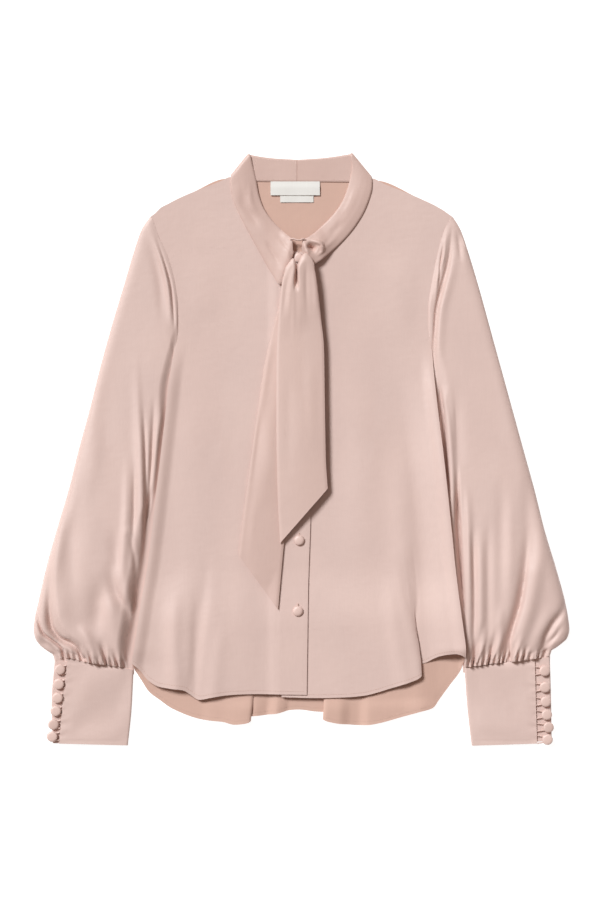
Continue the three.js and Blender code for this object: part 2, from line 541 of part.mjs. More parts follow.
function addPiece(name, geometry, finish) {
  const mesh = new THREE.Mesh(geometry, new THREE.MeshStandardMaterial({ ...finish }));
  mesh.name = name;
  blouse.add(mesh);
}

// Side edge of the body at a height
function sideAt(hand, y) {
  return read(SIDE, `${hand}Y`, `${hand}X`, y);
}

// How much the side edges are lifted at a point of the body. reach is the width of the slope inside them
// and early how far it starts above the sleeve.
function sideLift(x, y, reach, early) {
  const hand = x < 0 ? "left" : "right";
  const inside = Math.abs(sideAt(hand, y)) - Math.abs(x);
  const start = smooth((UNDERARM[hand] + early - y) / 12);
  const end = smooth((y + 288) / 18);
  return SIDE_LIFT * start * end * (1 - smooth((inside - 3.6) / reach));
}

// Middle of the fronts' cloth where they lie singly
function frontHeight(x, y) {
  const swell = HEM_SWELL * smooth((-140 - y) / 75);
  const calm = smooth((Math.abs(x + 7) - 20) / 30);
  const nearSide = smooth((Math.abs(sideAt(x < 0 ? "left" : "right", y)) - Math.abs(x)) / 30);
  const waves = Math.max(foldsAt(FRONT_FOLDS, x, y), 0) * calm * nearSide;
  return FRONT_MID + swell + waves + sideLift(x, y, 20, 2);
}

// The left front also steps up over the right one
function overHeight(x, y) {
  return frontHeight(x, y) + LAYER * smooth((x + 42) / 14);
}

// Point of a patch between four edges
function patch(u, v, edges) {
  const top = edges.top(u);
  const end = edges.end(u);
  const left = edges.left(v);
  const right = edges.right(v);
  const a = edges.top(0);
  const b = edges.top(1);
  const c = edges.end(0);
  const d = edges.end(1);
  const blend = (k) =>
    mix(top[k], end[k], v) + mix(left[k], right[k], u)
    - mix(mix(a[k], b[k], u), mix(c[k], d[k], u), v);
  return { x: blend("x"), y: blend("y") };
}

const sideEdge = (hand) => (v) => ({
  x: read(SIDE, "v", `${hand}X`, v),
  y: read(SIDE, "v", `${hand}Y`, v),
});

function backPanel() {
  const edges = {
    top: (u) => ({ x: read(BACK_TOP, "u", "x", u), y: read(BACK_TOP, "u", "y", u) }),
    end: (u) => ({ x: read(BACK_HEM, "u", "x", u), y: read(BACK_HEM, "u", "y", u) }),
    left: sideEdge("left"),
    right: sideEdge("right"),
  };
  const grid = SIDE.map(({ v }) =>
    BACK_HEM.map((row) => {
      const point = patch(row.u, v, edges);
      const x = point.x + row.shift * smooth((v - 0.84) / 0.1);
      const z = BACK_MID + row.lift * smooth((v - 0.7) / 0.14) + sideLift(point.x, point.y, 9.6, -4);
      return new THREE.Vector3(x, point.y, z);
    }),
  );
  addPiece("back", wall(grid, CLOTH), SATIN);
}

function frontPanel(name, table, left, right, height) {
  const edges = {
    top: (u) => ({ x: read(table, "u", "topX", u), y: read(table, "u", "topY", u) }),
    end: (u) => ({ x: read(table, "u", "x", u), y: read(table, "u", "y", u) }),
    left,
    right,
  };
  const grid = SIDE.map(({ v }) =>
    table.map((row) => {
      const point = patch(row.u, v, edges);
      const x = point.x + row.shift * smooth((v - 0.84) / 0.1);
      const z = height(point.x, point.y) + row.lift * smooth((v - 0.7) / 0.14);
      return new THREE.Vector3(x, point.y, z);
    }),
  );
  addPiece(name, wall(grid, CLOTH), SATIN);
}

function fronts() {
  const frontEdge = (column, start, end) => (v) => {
    const y = mix(start, end, v);
    return { x: read(FRONT_EDGE, "y", column, y), y };
  };
  const over = frontEdge("over", 237, -294.8);
  const under = frontEdge("under", 236.6, -297.6);
  frontPanel("front_left", LEFT_FRONT, sideEdge("left"), over, overHeight);
  frontPanel("front_right", RIGHT_FRONT, under, sideEdge("right"), frontHeight);
}

// Inner edge of a sleeve: beside the seam at the armhole, under the body's edge below it
function sleeveInner(hand, y) {
  const sign = hand === "left" ? -1 : 1;
  const under = smooth((UNDERARM[hand] - 20 - y) / 12);
  const shift = mix(-GAP - CLOTH / 2, SIDE_TUCK - CLOTH / 2, under);
  return sideAt(hand, y) - sign * shift;
}

function sleeve(hand) {
  const sign = hand === "left" ? -1 : 1;
  const folds = hand === "left" ? LEFT_SLEEVE_FOLDS : RIGHT_SLEEVE_FOLDS;
  const seam = (s, axis) => read(CUFF_SEAM, "s", `${hand}${axis}`, s);
  const first = SLEEVE_ROWS[0];
  const last = SLEEVE_ROWS[SLEEVE_ROWS.length - 1];
  const rings = SLEEVE_ROWS.map((row) => {
    const inner = new THREE.Vector2(sleeveInner(hand, row.inY), row.inY);
    const outer = new THREE.Vector2(
      read(SLEEVE_OUT, "y", hand, row.outY) - (sign * CLOTH) / 2,
      row.outY,
    );
    const width = inner.distanceTo(outer);
    const place = (s) => {
      const point = inner.clone().lerp(outer, s);
      const seamY = mix(first.inY, first.outY, s);
      const chord = mix(sleeveInner(hand, first.inY), read(SLEEVE_OUT, "y", hand, first.outY), s);
      const bow = sideAt(hand, seamY) + sign * (GAP + 0.6) - chord;
      point.x += row.arm * bow * smooth(s / 0.02) * smooth((1 - s) / 0.02);
      const lastY = mix(last.inY, last.outY, s);
      point.y += row.cuff * (seam(s, "Y") + GAP + 0.1 - lastY);
      return point;
    };
    const topHeight = (s, point) => {
      const reach = (s * width - 5.5) / (width - 5.5);
      const start = smooth(reach / 0.26);
      const end = reach < 0.62 ? 1 : Math.sqrt(Math.max(1 - ((reach - 0.62) / 0.38) ** 2, 0));
      const gathers = row.cuff > 0 ? 1.3 * row.cuff * Math.cos(2 * Math.PI * (7 * s + 0.6 * s * s)) : 0;
      const wavy = foldsAt(folds, point.x, point.y) + gathers;
      const round = start * end;
      return BACK_MID + Math.max(1.8, 1.8 + (row.high - 1.8) * round + wavy * Math.min(1, round * 1.2));
    };
    const ring = [];
    const add = (s, z) => {
      const point = place(s);
      const height = z === undefined ? topHeight(s, point) : z;
      ring.push(new THREE.Vector3(point.x, point.y, height));
    };
    const near = 1.2 / width;
    add(0, BACK_MID + 0.9);
    add(near, BACK_MID + 1.8);
    add(5.5 / width);
    const columns = 25;
    for (let k = 1; k <= columns; k += 1) {
      add(mix(5.5 / width, 1 - near, k / (columns + 1)));
    }
    add(1 - near, BACK_MID + 1.8);
    add(1, BACK_MID + 0.9);
    const flats = 6;
    for (let k = 0; k <= flats; k += 1) {
      add(mix(1 - near, near, k / flats), BACK_MID);
    }
    return ring;
  });
  addPiece(`sleeve_${hand}`, wall(rings, CLOTH, true), SATIN);
}

// A cuff is one band: overlap, round the inner edge, along the underside, round the outer edge, underlap
function cuff(hand, table) {
  const rows = [0, 0.25, 0.5, 0.75, 1];
  const low = CUFF / 2;
  const lap = low + CUFF + 0.5;
  const top = lap + CUFF + GAP;
  const grid = rows.map((v) => {
    const at = (key) => new THREE.Vector2(read(table, "v", `${key}X`, v), read(table, "v", `${key}Y`, v));
    const inner = at("in");
    const over = at("lap");
    const outer = at("out");
    const half = CUFF / 2 / inner.distanceTo(outer);
    const line = [
      { from: over, to: inner, t: 0.02, z: top },
      { from: over, to: inner, t: 0.16, z: top },
      { from: over, to: inner, t: 0.3, z: top - 0.2 },
      { from: over, to: inner, t: 0.6, z: top - 0.6 },
      { from: over, to: inner, t: 0.86, z: top - 1.4 },
      { from: over, to: inner, t: 1 - 1.9 / 88, z: low + 2.1 },
      { from: over, to: inner, t: 1 - half, z: low + 1.05 },
      { from: inner, to: outer, t: 1.9 / 96, z: low },
      { from: inner, to: outer, t: 0.35, z: low },
      { from: inner, to: outer, t: 0.7, z: low },
      { from: inner, to: outer, t: 1 - 1.9 / 96, z: low },
      { from: inner, to: outer, t: 1 - half, z: low + 1.05 },
      { from: inner, to: outer, t: 1 - 1.9 / 96, z: lap },
      { from: inner, to: outer, t: 0.9, z: lap },
      { from: inner, to: outer, t: 0.76, z: lap },
    ];
    return line.map((step) => {
      const point = step.from.clone().lerp(step.to, step.t);
      return new THREE.Vector3(point.x, point.y, step.z);
    });
  });
  addPiece(`cuff_${hand}`, wall(grid, CUFF), SATIN);
}

function cuffButtons(hand) {
  const sign = hand === "left" ? -1 : 1;
  const table = hand === "left" ? LEFT_CUFF : RIGHT_CUFF;
  const seat = CUFF / 2 + 2.1 + CUFF / 2 + GAP;
  const { radius, height, shank, lift } = CUFF_BUTTON;
  const profile = [
    { r: 0, z: 0 },
    { r: shank, z: 0 },
    { r: shank, z: lift - 0.1 },
    { r: radius * 0.92, z: lift + 0.1 },
    { r: radius, z: lift + height * 0.35 },
    { r: radius * 0.72, z: lift + height * 0.88 },
    { r: 0, z: lift + height },
  ];
  CUFF_BUTTONS.forEach((row, k) => {
    const x = row[`${hand}X`];
    const y = row[`${hand}Y`];
    const name = `cuff_button_${hand}_${k + 1}`;
    addPiece(name, turned(profile, x, y, seat, 12), COVER);
    const lapV = Math.min(Math.max((-253 - y) / 100, 0), 1);
    const edge = read(table, "v", "lapX", lapV) + sign * (GAP + 0.3);
    const round = shank + LOOP + GAP;
    const z = seat + LOOP;
    const path = [new THREE.Vector3(edge, y + round, z)];
    for (let n = 0; n <= 6; n += 1) {
      const angle = Math.PI / 2 - (Math.PI * n) / 6;
      const reach = Math.max(sign * (x - edge), 0.6);
      path.push(
        new THREE.Vector3(
          edge + sign * reach + sign * round * Math.cos(angle),
          y + round * Math.sin(angle),
          z,
        ),
      );
    }
    path.push(new THREE.Vector3(edge, y - round, z));
    addPiece(`cuff_loop_${hand}_${k + 1}`, cord(path, LOOP, 5), COVER);
  });
}

function band(name, table) {
  const columns = 7;
  const grid = table.map((row) => {
    const line = [];
    for (let j = 0; j < columns; j += 1) {
      const t = j / (columns - 1);
      const z = row.z + row.dome * Math.sin(Math.PI * t);
      line.push(new THREE.Vector3(mix(row.seamX, row.freeX, t), mix(row.seamY, row.freeY, t), z));
    }
    return line;
  });
  addPiece(name, wall(grid, BAND), SATIN);
}

function tieEdges(table, top) {
  const edge = (key) => (v) => ({
    x: read(table, "v", `${key}X`, v),
    y: read(table, "v", `${key}Y`, v),
  });
  const left = edge("left");
  const right = edge("right");
  return {
    left,
    right,
    top: top || ((u) => ({ x: mix(left(0).x, right(0).x, u), y: mix(left(0).y, right(0).y, u) })),
    end: (u) => ({ x: mix(left(1).x, right(1).x, u), y: mix(left(1).y, right(1).y, u) }),
  };
}

function backTie() {
  const edges = tieEdges(BACK_TIE_EDGE);
  const downs = [0, 0.07, 0.15, 0.24, 0.34, 0.45, 0.56, 0.66, 0.75, 0.84, 0.92, 1];
  const across = [0, 0.12, 0.26, 0.42, 0.6, 0.8, 1];
  const grid = downs.map((v) =>
    across.map((u) => {
      const point = patch(u, v, edges);
      const proud = mix(1, 0.25, smooth((-10 - point.y) / 70));
      const rise = 3.8 * proud * smooth(u / 0.46);
      const under = overHeight(point.x, point.y);
      const z = Math.max(under, FRONT_MID + LAYER) + CLOTH / 2 + GAP + BAND / 2 + rise;
      return new THREE.Vector3(point.x, point.y, z);
    }),
  );
  addPiece("tie_end_back", wall(grid, BAND), SATIN);
}

function frontTie() {
  const top = (u) => ({
    x: read(FRONT_TIE_TOP, "u", "x", u),
    y: read(FRONT_TIE_TOP, "u", "y", u),
  });
  const edges = tieEdges(FRONT_TIE_EDGE, top);
  const across = FRONT_TIE_TOP.map((row) => row.u);
  const downs = [0.02, 0.045, 0.08, 0.13, 0.2, 0.3, 0.42, 0.55, 0.68, 0.8, 0.9, 1];
  const lie = (y) => mix(12.6, 9.8, smooth((10 - y) / 110));
  const crease = (u, v) => -5 * Math.exp(-(((u - 0.42) / 0.07) ** 2)) * (1 - smooth(v / 0.09));
  const grid = [
    across.map((u) => new THREE.Vector3(top(u).x * 0.9, top(u).y - 6.5, 13.2)),
    across.map((u) => new THREE.Vector3(top(u).x, top(u).y - 1.4, 14 + crease(u, 0) * 0.1)),
    across.map((u) => new THREE.Vector3(top(u).x, top(u).y - 0.4, 16 + crease(u, 0) * 0.3)),
  ];
  for (const v of downs) {
    grid.push(
      across.map((u) => {
        const point = patch(u, v, edges);
        const puff = 6.4 * (1 - smooth(v / 0.3)) * Math.sin(Math.PI * mix(0.12, 0.88, u));
        const dome = 1.4 * Math.sin(Math.PI * u) * smooth(v / 0.2);
        return new THREE.Vector3(point.x, point.y, lie(point.y) + puff + dome + crease(u, v));
      }),
    );
  }
  addPiece("tie_end_front", wall(grid, BAND), SATIN);
}

function frontButtons() {
  const { radius, height } = FRONT_BUTTON;
  const profile = [
    { r: 0, z: 0 },
    { r: radius * 0.9, z: 0 },
    { r: radius, z: height * 0.35 },
    { r: radius * 0.74, z: height * 0.86 },
    { r: 0, z: height },
  ];
  FRONT_BUTTONS.forEach((row, k) => {
    const seat = overHeight(row.x, row.y) + CLOTH / 2 + GAP;
    addPiece(`front_button_${k + 1}`, turned(profile, row.x, row.y, seat, 12), COVER);
  });
}

// The main label hangs from the neck seam over the smaller one. Both are blank.
function labels() {
  const seat = CLOTH + GAP + LABEL / 2;
  const corner = (x, y, z) => new THREE.Vector3(x, y, z);
  const main = [
    [corner(-36.6, 321.6, seat), corner(-7, 321.6, seat), corner(22.6, 321.4, seat)],
    [corner(-36.6, 313, seat + 0.9), corner(-7, 313, seat + 0.9), corner(22.6, 313, seat + 0.9)],
    [corner(-36.6, 304.8, seat + 0.9), corner(-7, 304.8, seat + 0.9), corner(22.6, 304.8, seat + 0.9)],
  ];
  const small = [
    [corner(-25, 310, seat), corner(15, 310, seat)],
    [corner(-25, 296.4, seat), corner(15, 296.4, seat)],
  ];
  addPiece("label_main", wall(main, LABEL), PAPER);
  addPiece("label_size", wall(small, LABEL), PAPER);
}

backPanel();
fronts();
sleeve("left");
sleeve("right");
cuff("left", LEFT_CUFF);
cuff("right", RIGHT_CUFF);
cuffButtons("left");
cuffButtons("right");
band("neck_band_left", LEFT_BAND);
band("neck_band_right", RIGHT_BAND);
backTie();
frontTie();
frontButtons();
labels();

export default blouse;
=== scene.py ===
import math

import bpy
import numpy as np
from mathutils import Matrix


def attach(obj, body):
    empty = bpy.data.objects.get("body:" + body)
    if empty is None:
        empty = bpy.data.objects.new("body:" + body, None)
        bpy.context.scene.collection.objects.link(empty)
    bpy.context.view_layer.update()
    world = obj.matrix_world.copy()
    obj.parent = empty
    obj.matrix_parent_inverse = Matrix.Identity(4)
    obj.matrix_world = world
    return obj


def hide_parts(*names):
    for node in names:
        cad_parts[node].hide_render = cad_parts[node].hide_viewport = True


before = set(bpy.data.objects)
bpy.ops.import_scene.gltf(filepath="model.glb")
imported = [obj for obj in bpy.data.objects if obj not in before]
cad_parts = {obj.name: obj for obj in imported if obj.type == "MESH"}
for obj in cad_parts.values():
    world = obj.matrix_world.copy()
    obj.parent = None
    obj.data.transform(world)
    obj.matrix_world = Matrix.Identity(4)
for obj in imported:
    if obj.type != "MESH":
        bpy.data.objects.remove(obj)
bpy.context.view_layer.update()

# A satin blouse with a tied neck band, laid out flat. Sizes here are in millimetres, and meshes are
# made in metres. Left and right are the viewer's, and a sign of -1 or 1 stands for them.
MM = 0.001
CLOTH = 1.2  # wall of a single cloth in the solids
SHEET = 0.8  # one layer of satin as it shows
BAND = 2.2  # doubled neck band and ties
CUFF = 1.6  # each layer of a cuff
GAP = 0.3
LAYER = CLOTH + GAP
BACK_MID = CLOTH / 2
FRONT_MID = BACK_MID + LAYER
SIDE_LIFT = 3.3  # how far the body's sides are raised by the sleeves' edges under them
SIDE_SWELL = 7  # how much further the body's sides stand up from the sleeves
SIDE_SHARE = (0.3, 1.5)  # shares of that swell on the left and right
SIDE_REACH = (60, 44)  # how far in it goes on the left and right
SIDE_TUCK = 3  # how far the sleeves' inner edges lie under the body
HEM_SWELL = 4.6  # how far the fronts stand up towards the hem
HEM_START, HEM_RISE = -140, 75
HEM_STITCH = 4.2  # from a hem's edge to its stitches
BACK_LENGTH = 600
FRONT_LENGTH = 560
UNDERARM = {-1: 132, 1: 126}
SLEEVE_RIM = 1.2  # from a sleeve's edge to the first column of its upper and lower layer
SLEEVE_LOW = 0.9  # least height of a sleeve's upper layer over its lower one
CUFF_TOP = -253
CUFF_LENGTH = 101
CREASE_STEPS = 20
CREASE_FADE = 0.42  # share of a crease over which it rises from its end
CREASE_SEAM = -249  # a crease that ends below this runs into the cuff seam at full height
PRESSED = 0.05  # share of a strip's width over which it thins to a pressed fold


def table(columns, *rows):
    return dict(zip(columns.split(), np.array(rows, float).T))


# Side edges of the body, shoulder tip to hem corner
SIDE = table(
    "v lx ly rx ry",
    (0, -181, 279, 182, 279),
    (0.045, -172.8, 256, 171.2, 256),
    (0.09, -161.6, 231, 164.8, 231),
    (0.145, -153.2, 200, 158.6, 200),
    (0.2, -149.2, 170, 154.4, 170),
    (0.25, -148.9, 145, 154.4, 145),
    (0.285, -151.2, 126, 156.6, 126),
    (0.315, -154, 110, 158, 110),
    (0.365, -158, 84, 160.2, 84),
    (0.435, -162.2, 46, 164.2, 46),
    (0.53, -168, -4, 170.4, -4),
    (0.625, -174, -56, 176, -56),
    (0.715, -179.6, -104, 181, -104),
    (0.79, -184.8, -144, 185, -144),
    (0.85, -190.6, -176, 188.6, -174),
    (0.905, -195, -206, 192.4, -203),
    (0.945, -198.2, -227, 195.2, -223),
    (0.975, -200.8, -243, 197, -238),
    (1, -203.4, -257, 197.2, -250),
)

# Outer edge of the sleeves
SLEEVE_OUT = table(
    "y lx rx",
    (279, -181.6, 182.6), (263, -192, 192), (239, -200.4, 200.4),
    (191, -214.8, 214.8), (143, -229.2, 228), (95, -242.4, 241.2),
    (47, -254.4, 254.4), (-1, -267.6, 267.6), (-49, -279.6, 280.8),
    (-97, -294, 292.8), (-145, -307.2, 307.2), (-181, -315.4, 317),
    (-205, -320.6, 321.6), (-217, -321.6, 322.8), (-228, -319.4, 320.4),
    (-236, -313.6, 313.8), (-242, -306, 307.4), (-247, -298.6, 301.4),
    (-254, -296.4, 299.4),
)

BACK_TOP = table(
    "u x y",
    (0, -181, 279), (0.06, -160, 294.4), (0.13, -132, 307.8), (0.27, -86.5, 325.2),
    (0.34, -56, 323), (0.5, -4, 323), (0.66, 57, 322), (0.73, 87.5, 323),
    (0.87, 140, 302.4), (0.94, 165, 290.4), (1, 182, 279),
)

# Hem of the back. shift and lift lay the two pleats of the middle.
BACK_HEM = table(
    "u x y shift lift",
    (0, -203.4, -257, 0, 0),
    (0.012, -199, -266.4, 0, 0),
    (0.035, -191.4, -278.6, 0, 0),
    (0.06, -182.8, -291.6, 0, 0),
    (0.09, -170.4, -301.2, 0, 0),
    (0.13, -154, -312.4, 0, 0),
    (0.2, -122.4, -324.3, 0, 0.2),
    (0.24, -109, -326.4, 0, 1.2),
    (0.28, -94, -327.8, 0, 1.9),
    (0.31, -80, -331, 0, 3),
    (0.338, -67.6, -329.8, 0, 3.6),
    (0.344, -65.2, -328.6, 2.4, 3.6),
    (0.35, -62.8, -326.6, 2.3, 2.7),
    (0.356, -60.4, -325, -2.2, 1.8),
    (0.362, -58, -323.6, -13, 1.8),
    (0.368, -55.6, -322.8, -17.4, 0.9),
    (0.374, -53.2, -322, -18, 0.4),
    (0.388, -49, -321, -8, 1.6),
    (0.412, -41.4, -319.4, 0, 0),
    (0.442, -29.6, -318, 0, 2.4),
    (0.465, -22, -316, 0, 1.4),
    (0.49, -14.6, -314, 0, 0),
    (0.53, -2.4, -313.2, 0, 0),
    (0.57, 14, -315.2, 0, 0),
    (0.6, 24.4, -317, 11.6, 0),
    (0.606, 26.8, -318.4, 11.4, 0.9),
    (0.612, 29.2, -320.4, 6.8, 1.8),
    (0.618, 31.6, -322.8, -3, 1.8),
    (0.624, 34, -324.6, -7.6, 2.7),
    (0.63, 36.4, -326.2, -7.4, 3.6),
    (0.65, 45, -329.8, 0, 3.4),
    (0.68, 59, -331, 0, 0.9),
    (0.705, 69, -331.8, 0, 0.4),
    (0.73, 81, -331.4, 0, 2.6),
    (0.76, 93, -329.4, 0, 2.8),
    (0.81, 120, -322, 0, 2.8),
    (0.87, 142, -315.8, 0, 3.8),
    (0.91, 158.4, -311, 0, 2),
    (0.935, 166.4, -300.6, 0, 0.8),
    (0.962, 180.8, -281.2, 0, 0),
    (0.985, 190.4, -268.4, 0, 0),
    (1, 197.2, -250, 0, 0),
)

# The two fronts: neck and shoulder edge, then hem. The left one lies over.
LEFT_FRONT = table(
    "u topx topy x y shift lift",
    (0, -181, 279, -203.4, -257, 0, 0),
    (0.02, -177, 281.6, -199.2, -260.2, 0, 0),
    (0.06, -168, 290.2, -192, -267, 0, 0),
    (0.11, -160, 294.4, -184, -277, 0, 0),
    (0.17, -146.4, 301.4, -170.4, -285.2, 0, 0.4),
    (0.25, -128, 309.4, -156, -287.6, 0, 1.2),
    (0.33, -107, 317.6, -141.6, -289.4, 0, 0.6),
    (0.38, -97, 321.5, -133, -294.6, 0, 0),
    (0.43, -85.4, 326.8, -122, -301, 0, 1.6),
    (0.5, -73, 310, -108, -298.4, 0, 1),
    (0.57, -63, 293, -92, -295.8, 0, 0.2),
    (0.64, -52, 274, -74, -294.4, 0, 0),
    (0.72, -41, 257, -55, -294, 0, 0),
    (0.8, -32, 242, -38, -294.2, 0, 0),
    (0.86, -21, 238.4, -27, -294.4, 0, 0),
    (0.93, -6, 237, -10, -294.6, 0, 0),
    (1, 9, 237, 6.8, -294.8, 0, 0),
)
RIGHT_FRONT = table(
    "u topx topy x y shift lift",
    (0, -22, 236.6, -23.4, -297.6, 0, 0),
    (0.07, -6, 236.6, -8, -298.2, 0, 0),
    (0.14, 10, 236.8, 9, -298.7, 0, 0),
    (0.2, 24, 239.5, 24, -298.8, 0, 0),
    (0.28, 36, 248, 42, -298.4, 0, 0),
    (0.36, 49, 263, 60, -297.6, 0, 0),
    (0.44, 60, 281, 78, -295.6, 0, 0.2),
    (0.51, 69, 299, 92, -292, 0, 0.6),
    (0.57, 78, 314, 106, -287.6, 0, 1),
    (0.62, 86.4, 325, 119, -283.6, 0, 1.8),
    (0.67, 100, 318.4, 131, -279.6, 0, 3),
    (0.7, 108, 315.2, 139.4, -275.4, 1.6, 3.6),
    (0.71, 110.5, 314.2, 142, -272.2, 2.4, 2.7),
    (0.72, 113, 313.3, 144.6, -267.6, -2.4, 1.8),
    (0.73, 115.5, 312.3, 147.2, -263.8, -9.6, 0.9),
    (0.74, 118, 311.3, 149.8, -260.8, -10, 0),
    (0.78, 127, 307.7, 154.4, -255.4, -2, 0),
    (0.84, 143, 301, 163, -249.8, 0, 0.4),
    (0.9, 158, 293.6, 175, -246.6, 0, 0.8),
    (0.95, 170, 287.4, 186, -245.4, 0, 0.4),
    (0.98, 178, 281.8, 192.8, -247, 0, 0),
    (1, 182, 279, 197.2, -250, 0, 0),
)
FRONT_EDGE = table(
    "y over under",
    (237, 9, -22), (150, 10.6, -20.6), (0, 11.8, -19.4),
    (-78, 11.4, -19.8), (-162, 8.8, -21.6), (-298, 6.8, -23.4),
)

# Rows of a sleeve, armhole to cuff seam
SLEEVE_ROWS = table(
    "k iny outy high arm cuff",
    (0, 131, 278.6, 1.8, 1, 0),
    (1, 126, 271, 3.4, 0.97, 0),
    (2, 120, 262, 3.6, 0.9, 0),
    (3, 109, 240, 4.8, 0.7, 0),
    (4, 93, 210, 5.8, 0.45, 0),
    (5, 71, 172, 6.6, 0.22, 0),
    (6, 43, 130, 7.4, 0.08, 0),
    (7, 11, 86, 8.2, 0, 0),
    (8, -24, 42, 8.8, 0, 0),
    (9, -60, -2, 9.6, 0, 0),
    (10, -96, -46, 10.6, 0, 0),
    (11, -130, -88, 12.4, 0, 0),
    (12, -160, -126, 14.2, 0, 0),
    (13, -186, -158, 14.8, 0, 0),
    (14, -207, -184, 14.4, 0, 0),
    (15, -224, -205, 13.4, 0, 0),
    (16, -237, -220, 12.2, 0, 0.1),
    (17, -247, -231, 10.8, 0, 0.35),
    (18, -254.5, -240, 9.6, 0, 0.7),
    (19, -260, -248, 8.2, 0, 1),
    (20, -264, -253.6, 7.2, 0, 1),
)
CUFF_SEAM = table(
    "s lx ly rx ry",
    (0, -201.2, -264.6, 196.2, -262.4),
    (0.28, -230.4, -260.2, 224, -258.6),
    (0.62, -262, -255.6, 262, -254.4),
    (0.86, -281.8, -251, 282.4, -251.2),
    (1, -295.6, -254, 298.6, -249),
)

# Neck band halves: seam edge, free edge, height of the middle and its dome
LEFT_BAND = table(
    "sx sy fx fy z dome",
    (-4.5, 321.3, -4.5, 347.6, 0.62, 0),
    (-5.2, 321.3, -5.2, 347.6, 1.3, 0),
    (-6, 321.3, -6, 347.7, 1.5, 0),
    (-32, 321.3, -34, 349.4, 1.5, 0),
    (-58, 321.7, -53, 352, 1.5, 0),
    (-80.6, 325.6, -60.6, 353.6, 1.4, 0),
    (-84, 328.2, -62.4, 354.6, 2.85, 0),
    (-84.6, 322.6, -60.8, 351.6, 4.5, 0),
    (-84, 313, -57.6, 338, 4.5, 0.8),
    (-81.4, 299, -54, 322.8, 4.5, 1.4),
    (-75.4, 284.4, -51.4, 308, 4.5, 1.2),
    (-68.4, 270, -46.6, 293, 4.5, 1.2),
    (-60.6, 255.6, -40.4, 282, 4.5, 1.6),
    (-52.8, 241.2, -33.4, 273, 4.8, 1.6),
    (-43.2, 223.8, -25.6, 265, 5.6, 2),
    (-34, 208.4, -17.4, 257.4, 7.2, 1.6),
    (-26, 197.6, -10, 250, 9.4, 1.4),
    (-20.6, 199, -9.4, 238, 9.4, 0.4),
    (-19.4, 200, -8.6, 238, 7.6, 0),
)
RIGHT_BAND = table(
    "sx sy fx fy z dome",
    (-4.4, 321.3, -4.4, 347.6, 1.4, 0),
    (28, 320.9, 26, 349.6, 1.5, 0),
    (60, 320.6, 51, 353, 1.5, 0),
    (81.6, 323.4, 58.6, 354.4, 1.4, 0),
    (85, 325.8, 60.4, 355.6, 2.85, 0),
    (85.6, 320, 59.6, 352, 4.5, 0),
    (85.2, 312.6, 61.4, 340, 4.5, 0.6),
    (81.8, 300, 59.4, 327, 4.5, 1),
    (76, 285.6, 56, 314, 4.5, 1.2),
    (67.4, 271, 50.4, 299, 4.5, 1.2),
    (57.6, 258, 43.6, 288, 4.5, 1.2),
    (47.8, 247.6, 35.4, 277.8, 4.8, 1.4),
    (38.4, 238.8, 25.4, 268, 5.6, 2),
    (29.4, 230.8, 15.6, 258.8, 7.4, 3.4),
    (22, 225, 8, 253.6, 9.6, 1.4),
    (15, 221.4, 1.8, 250.6, 9.8, 3.4),
    (8, 220.4, 1.6, 243, 9.4, 0.4),
    (7, 221, 1, 242, 7.8, 0),
)

# Tie ends
FRONT_TIE_TOP = table(
    "u x y",
    (0, -19.4, 213.2), (0.14, -14.8, 221), (0.28, -9.2, 227.6),
    (0.38, -6.6, 221.4), (0.46, -3.4, 221.6), (0.58, 0.6, 229.4),
    (0.72, 5.6, 233.8), (0.86, 12, 227.6), (1, 16, 218),
)
FRONT_TIE_EDGE = table(
    "v lx ly rx ry",
    (0, -19.4, 213.2, 16, 218),
    (0.06, -23.2, 195.6, 19.6, 195),
    (0.17, -26.8, 158.4, 23.4, 160),
    (0.34, -29.2, 106.8, 27.4, 121),
    (0.56, -29.6, 34.8, 28.6, 45),
    (0.8, -28.2, -48, 29.8, -15),
    (1, -25.2, -113, 32, -47.4),
)
BACK_TIE_EDGE = table(
    "v lx ly rx ry",
    (0, -17, 194, 9, 194),
    (0.07, -25.4, 173.4, 8, 170),
    (0.15, -33, 147.6, 5.6, 142),
    (0.29, -43.4, 103.2, 1.6, 92),
    (0.5, -53.6, 34.8, -5.6, 16),
    (0.66, -60.8, -15.6, -12, -44),
    (0.84, -68.4, -73, -20.4, -113),
    (1, -75, -127, -27.6, -192.4),
)

# Cuffs: inner edge, overlap edge, outer edge
LEFT_CUFF = table(
    "v inx iny lapx lapy outx outy",
    (0, -201.2, -265, -281.8, -251.4, -296.2, -254.4),
    (0.5, -203.4, -311, -287.6, -303, -300, -304),
    (1, -208, -356, -292.2, -353.6, -298.4, -353.2),
)
RIGHT_CUFF = table(
    "v inx iny lapx lapy outx outy",
    (0, 196.2, -262.8, 282.4, -251.8, 299.2, -249.4),
    (0.5, 199.6, -309, 283.6, -303, 300.6, -300),
    (1, 205, -356.4, 285, -353.6, 301.4, -350.4),
)
FRONT_BUTTONS = ((-3.4, 229.6), (-3, 144), (-3, 60), (-3, -25.2), (-2.2, -109.7), (-3.8, -194.4))
LEFT_BUTTONS = (
    (-289.2, -264.5), (-290.6, -282), (-292, -298.6),
    (-294.2, -314.3), (-297, -330.6), (-298.6, -345),
)
RIGHT_BUTTONS = (
    (292.4, -266), (292.6, -286), (293.6, -303),
    (294.8, -318.7), (297, -334), (295.6, -348.6),
)

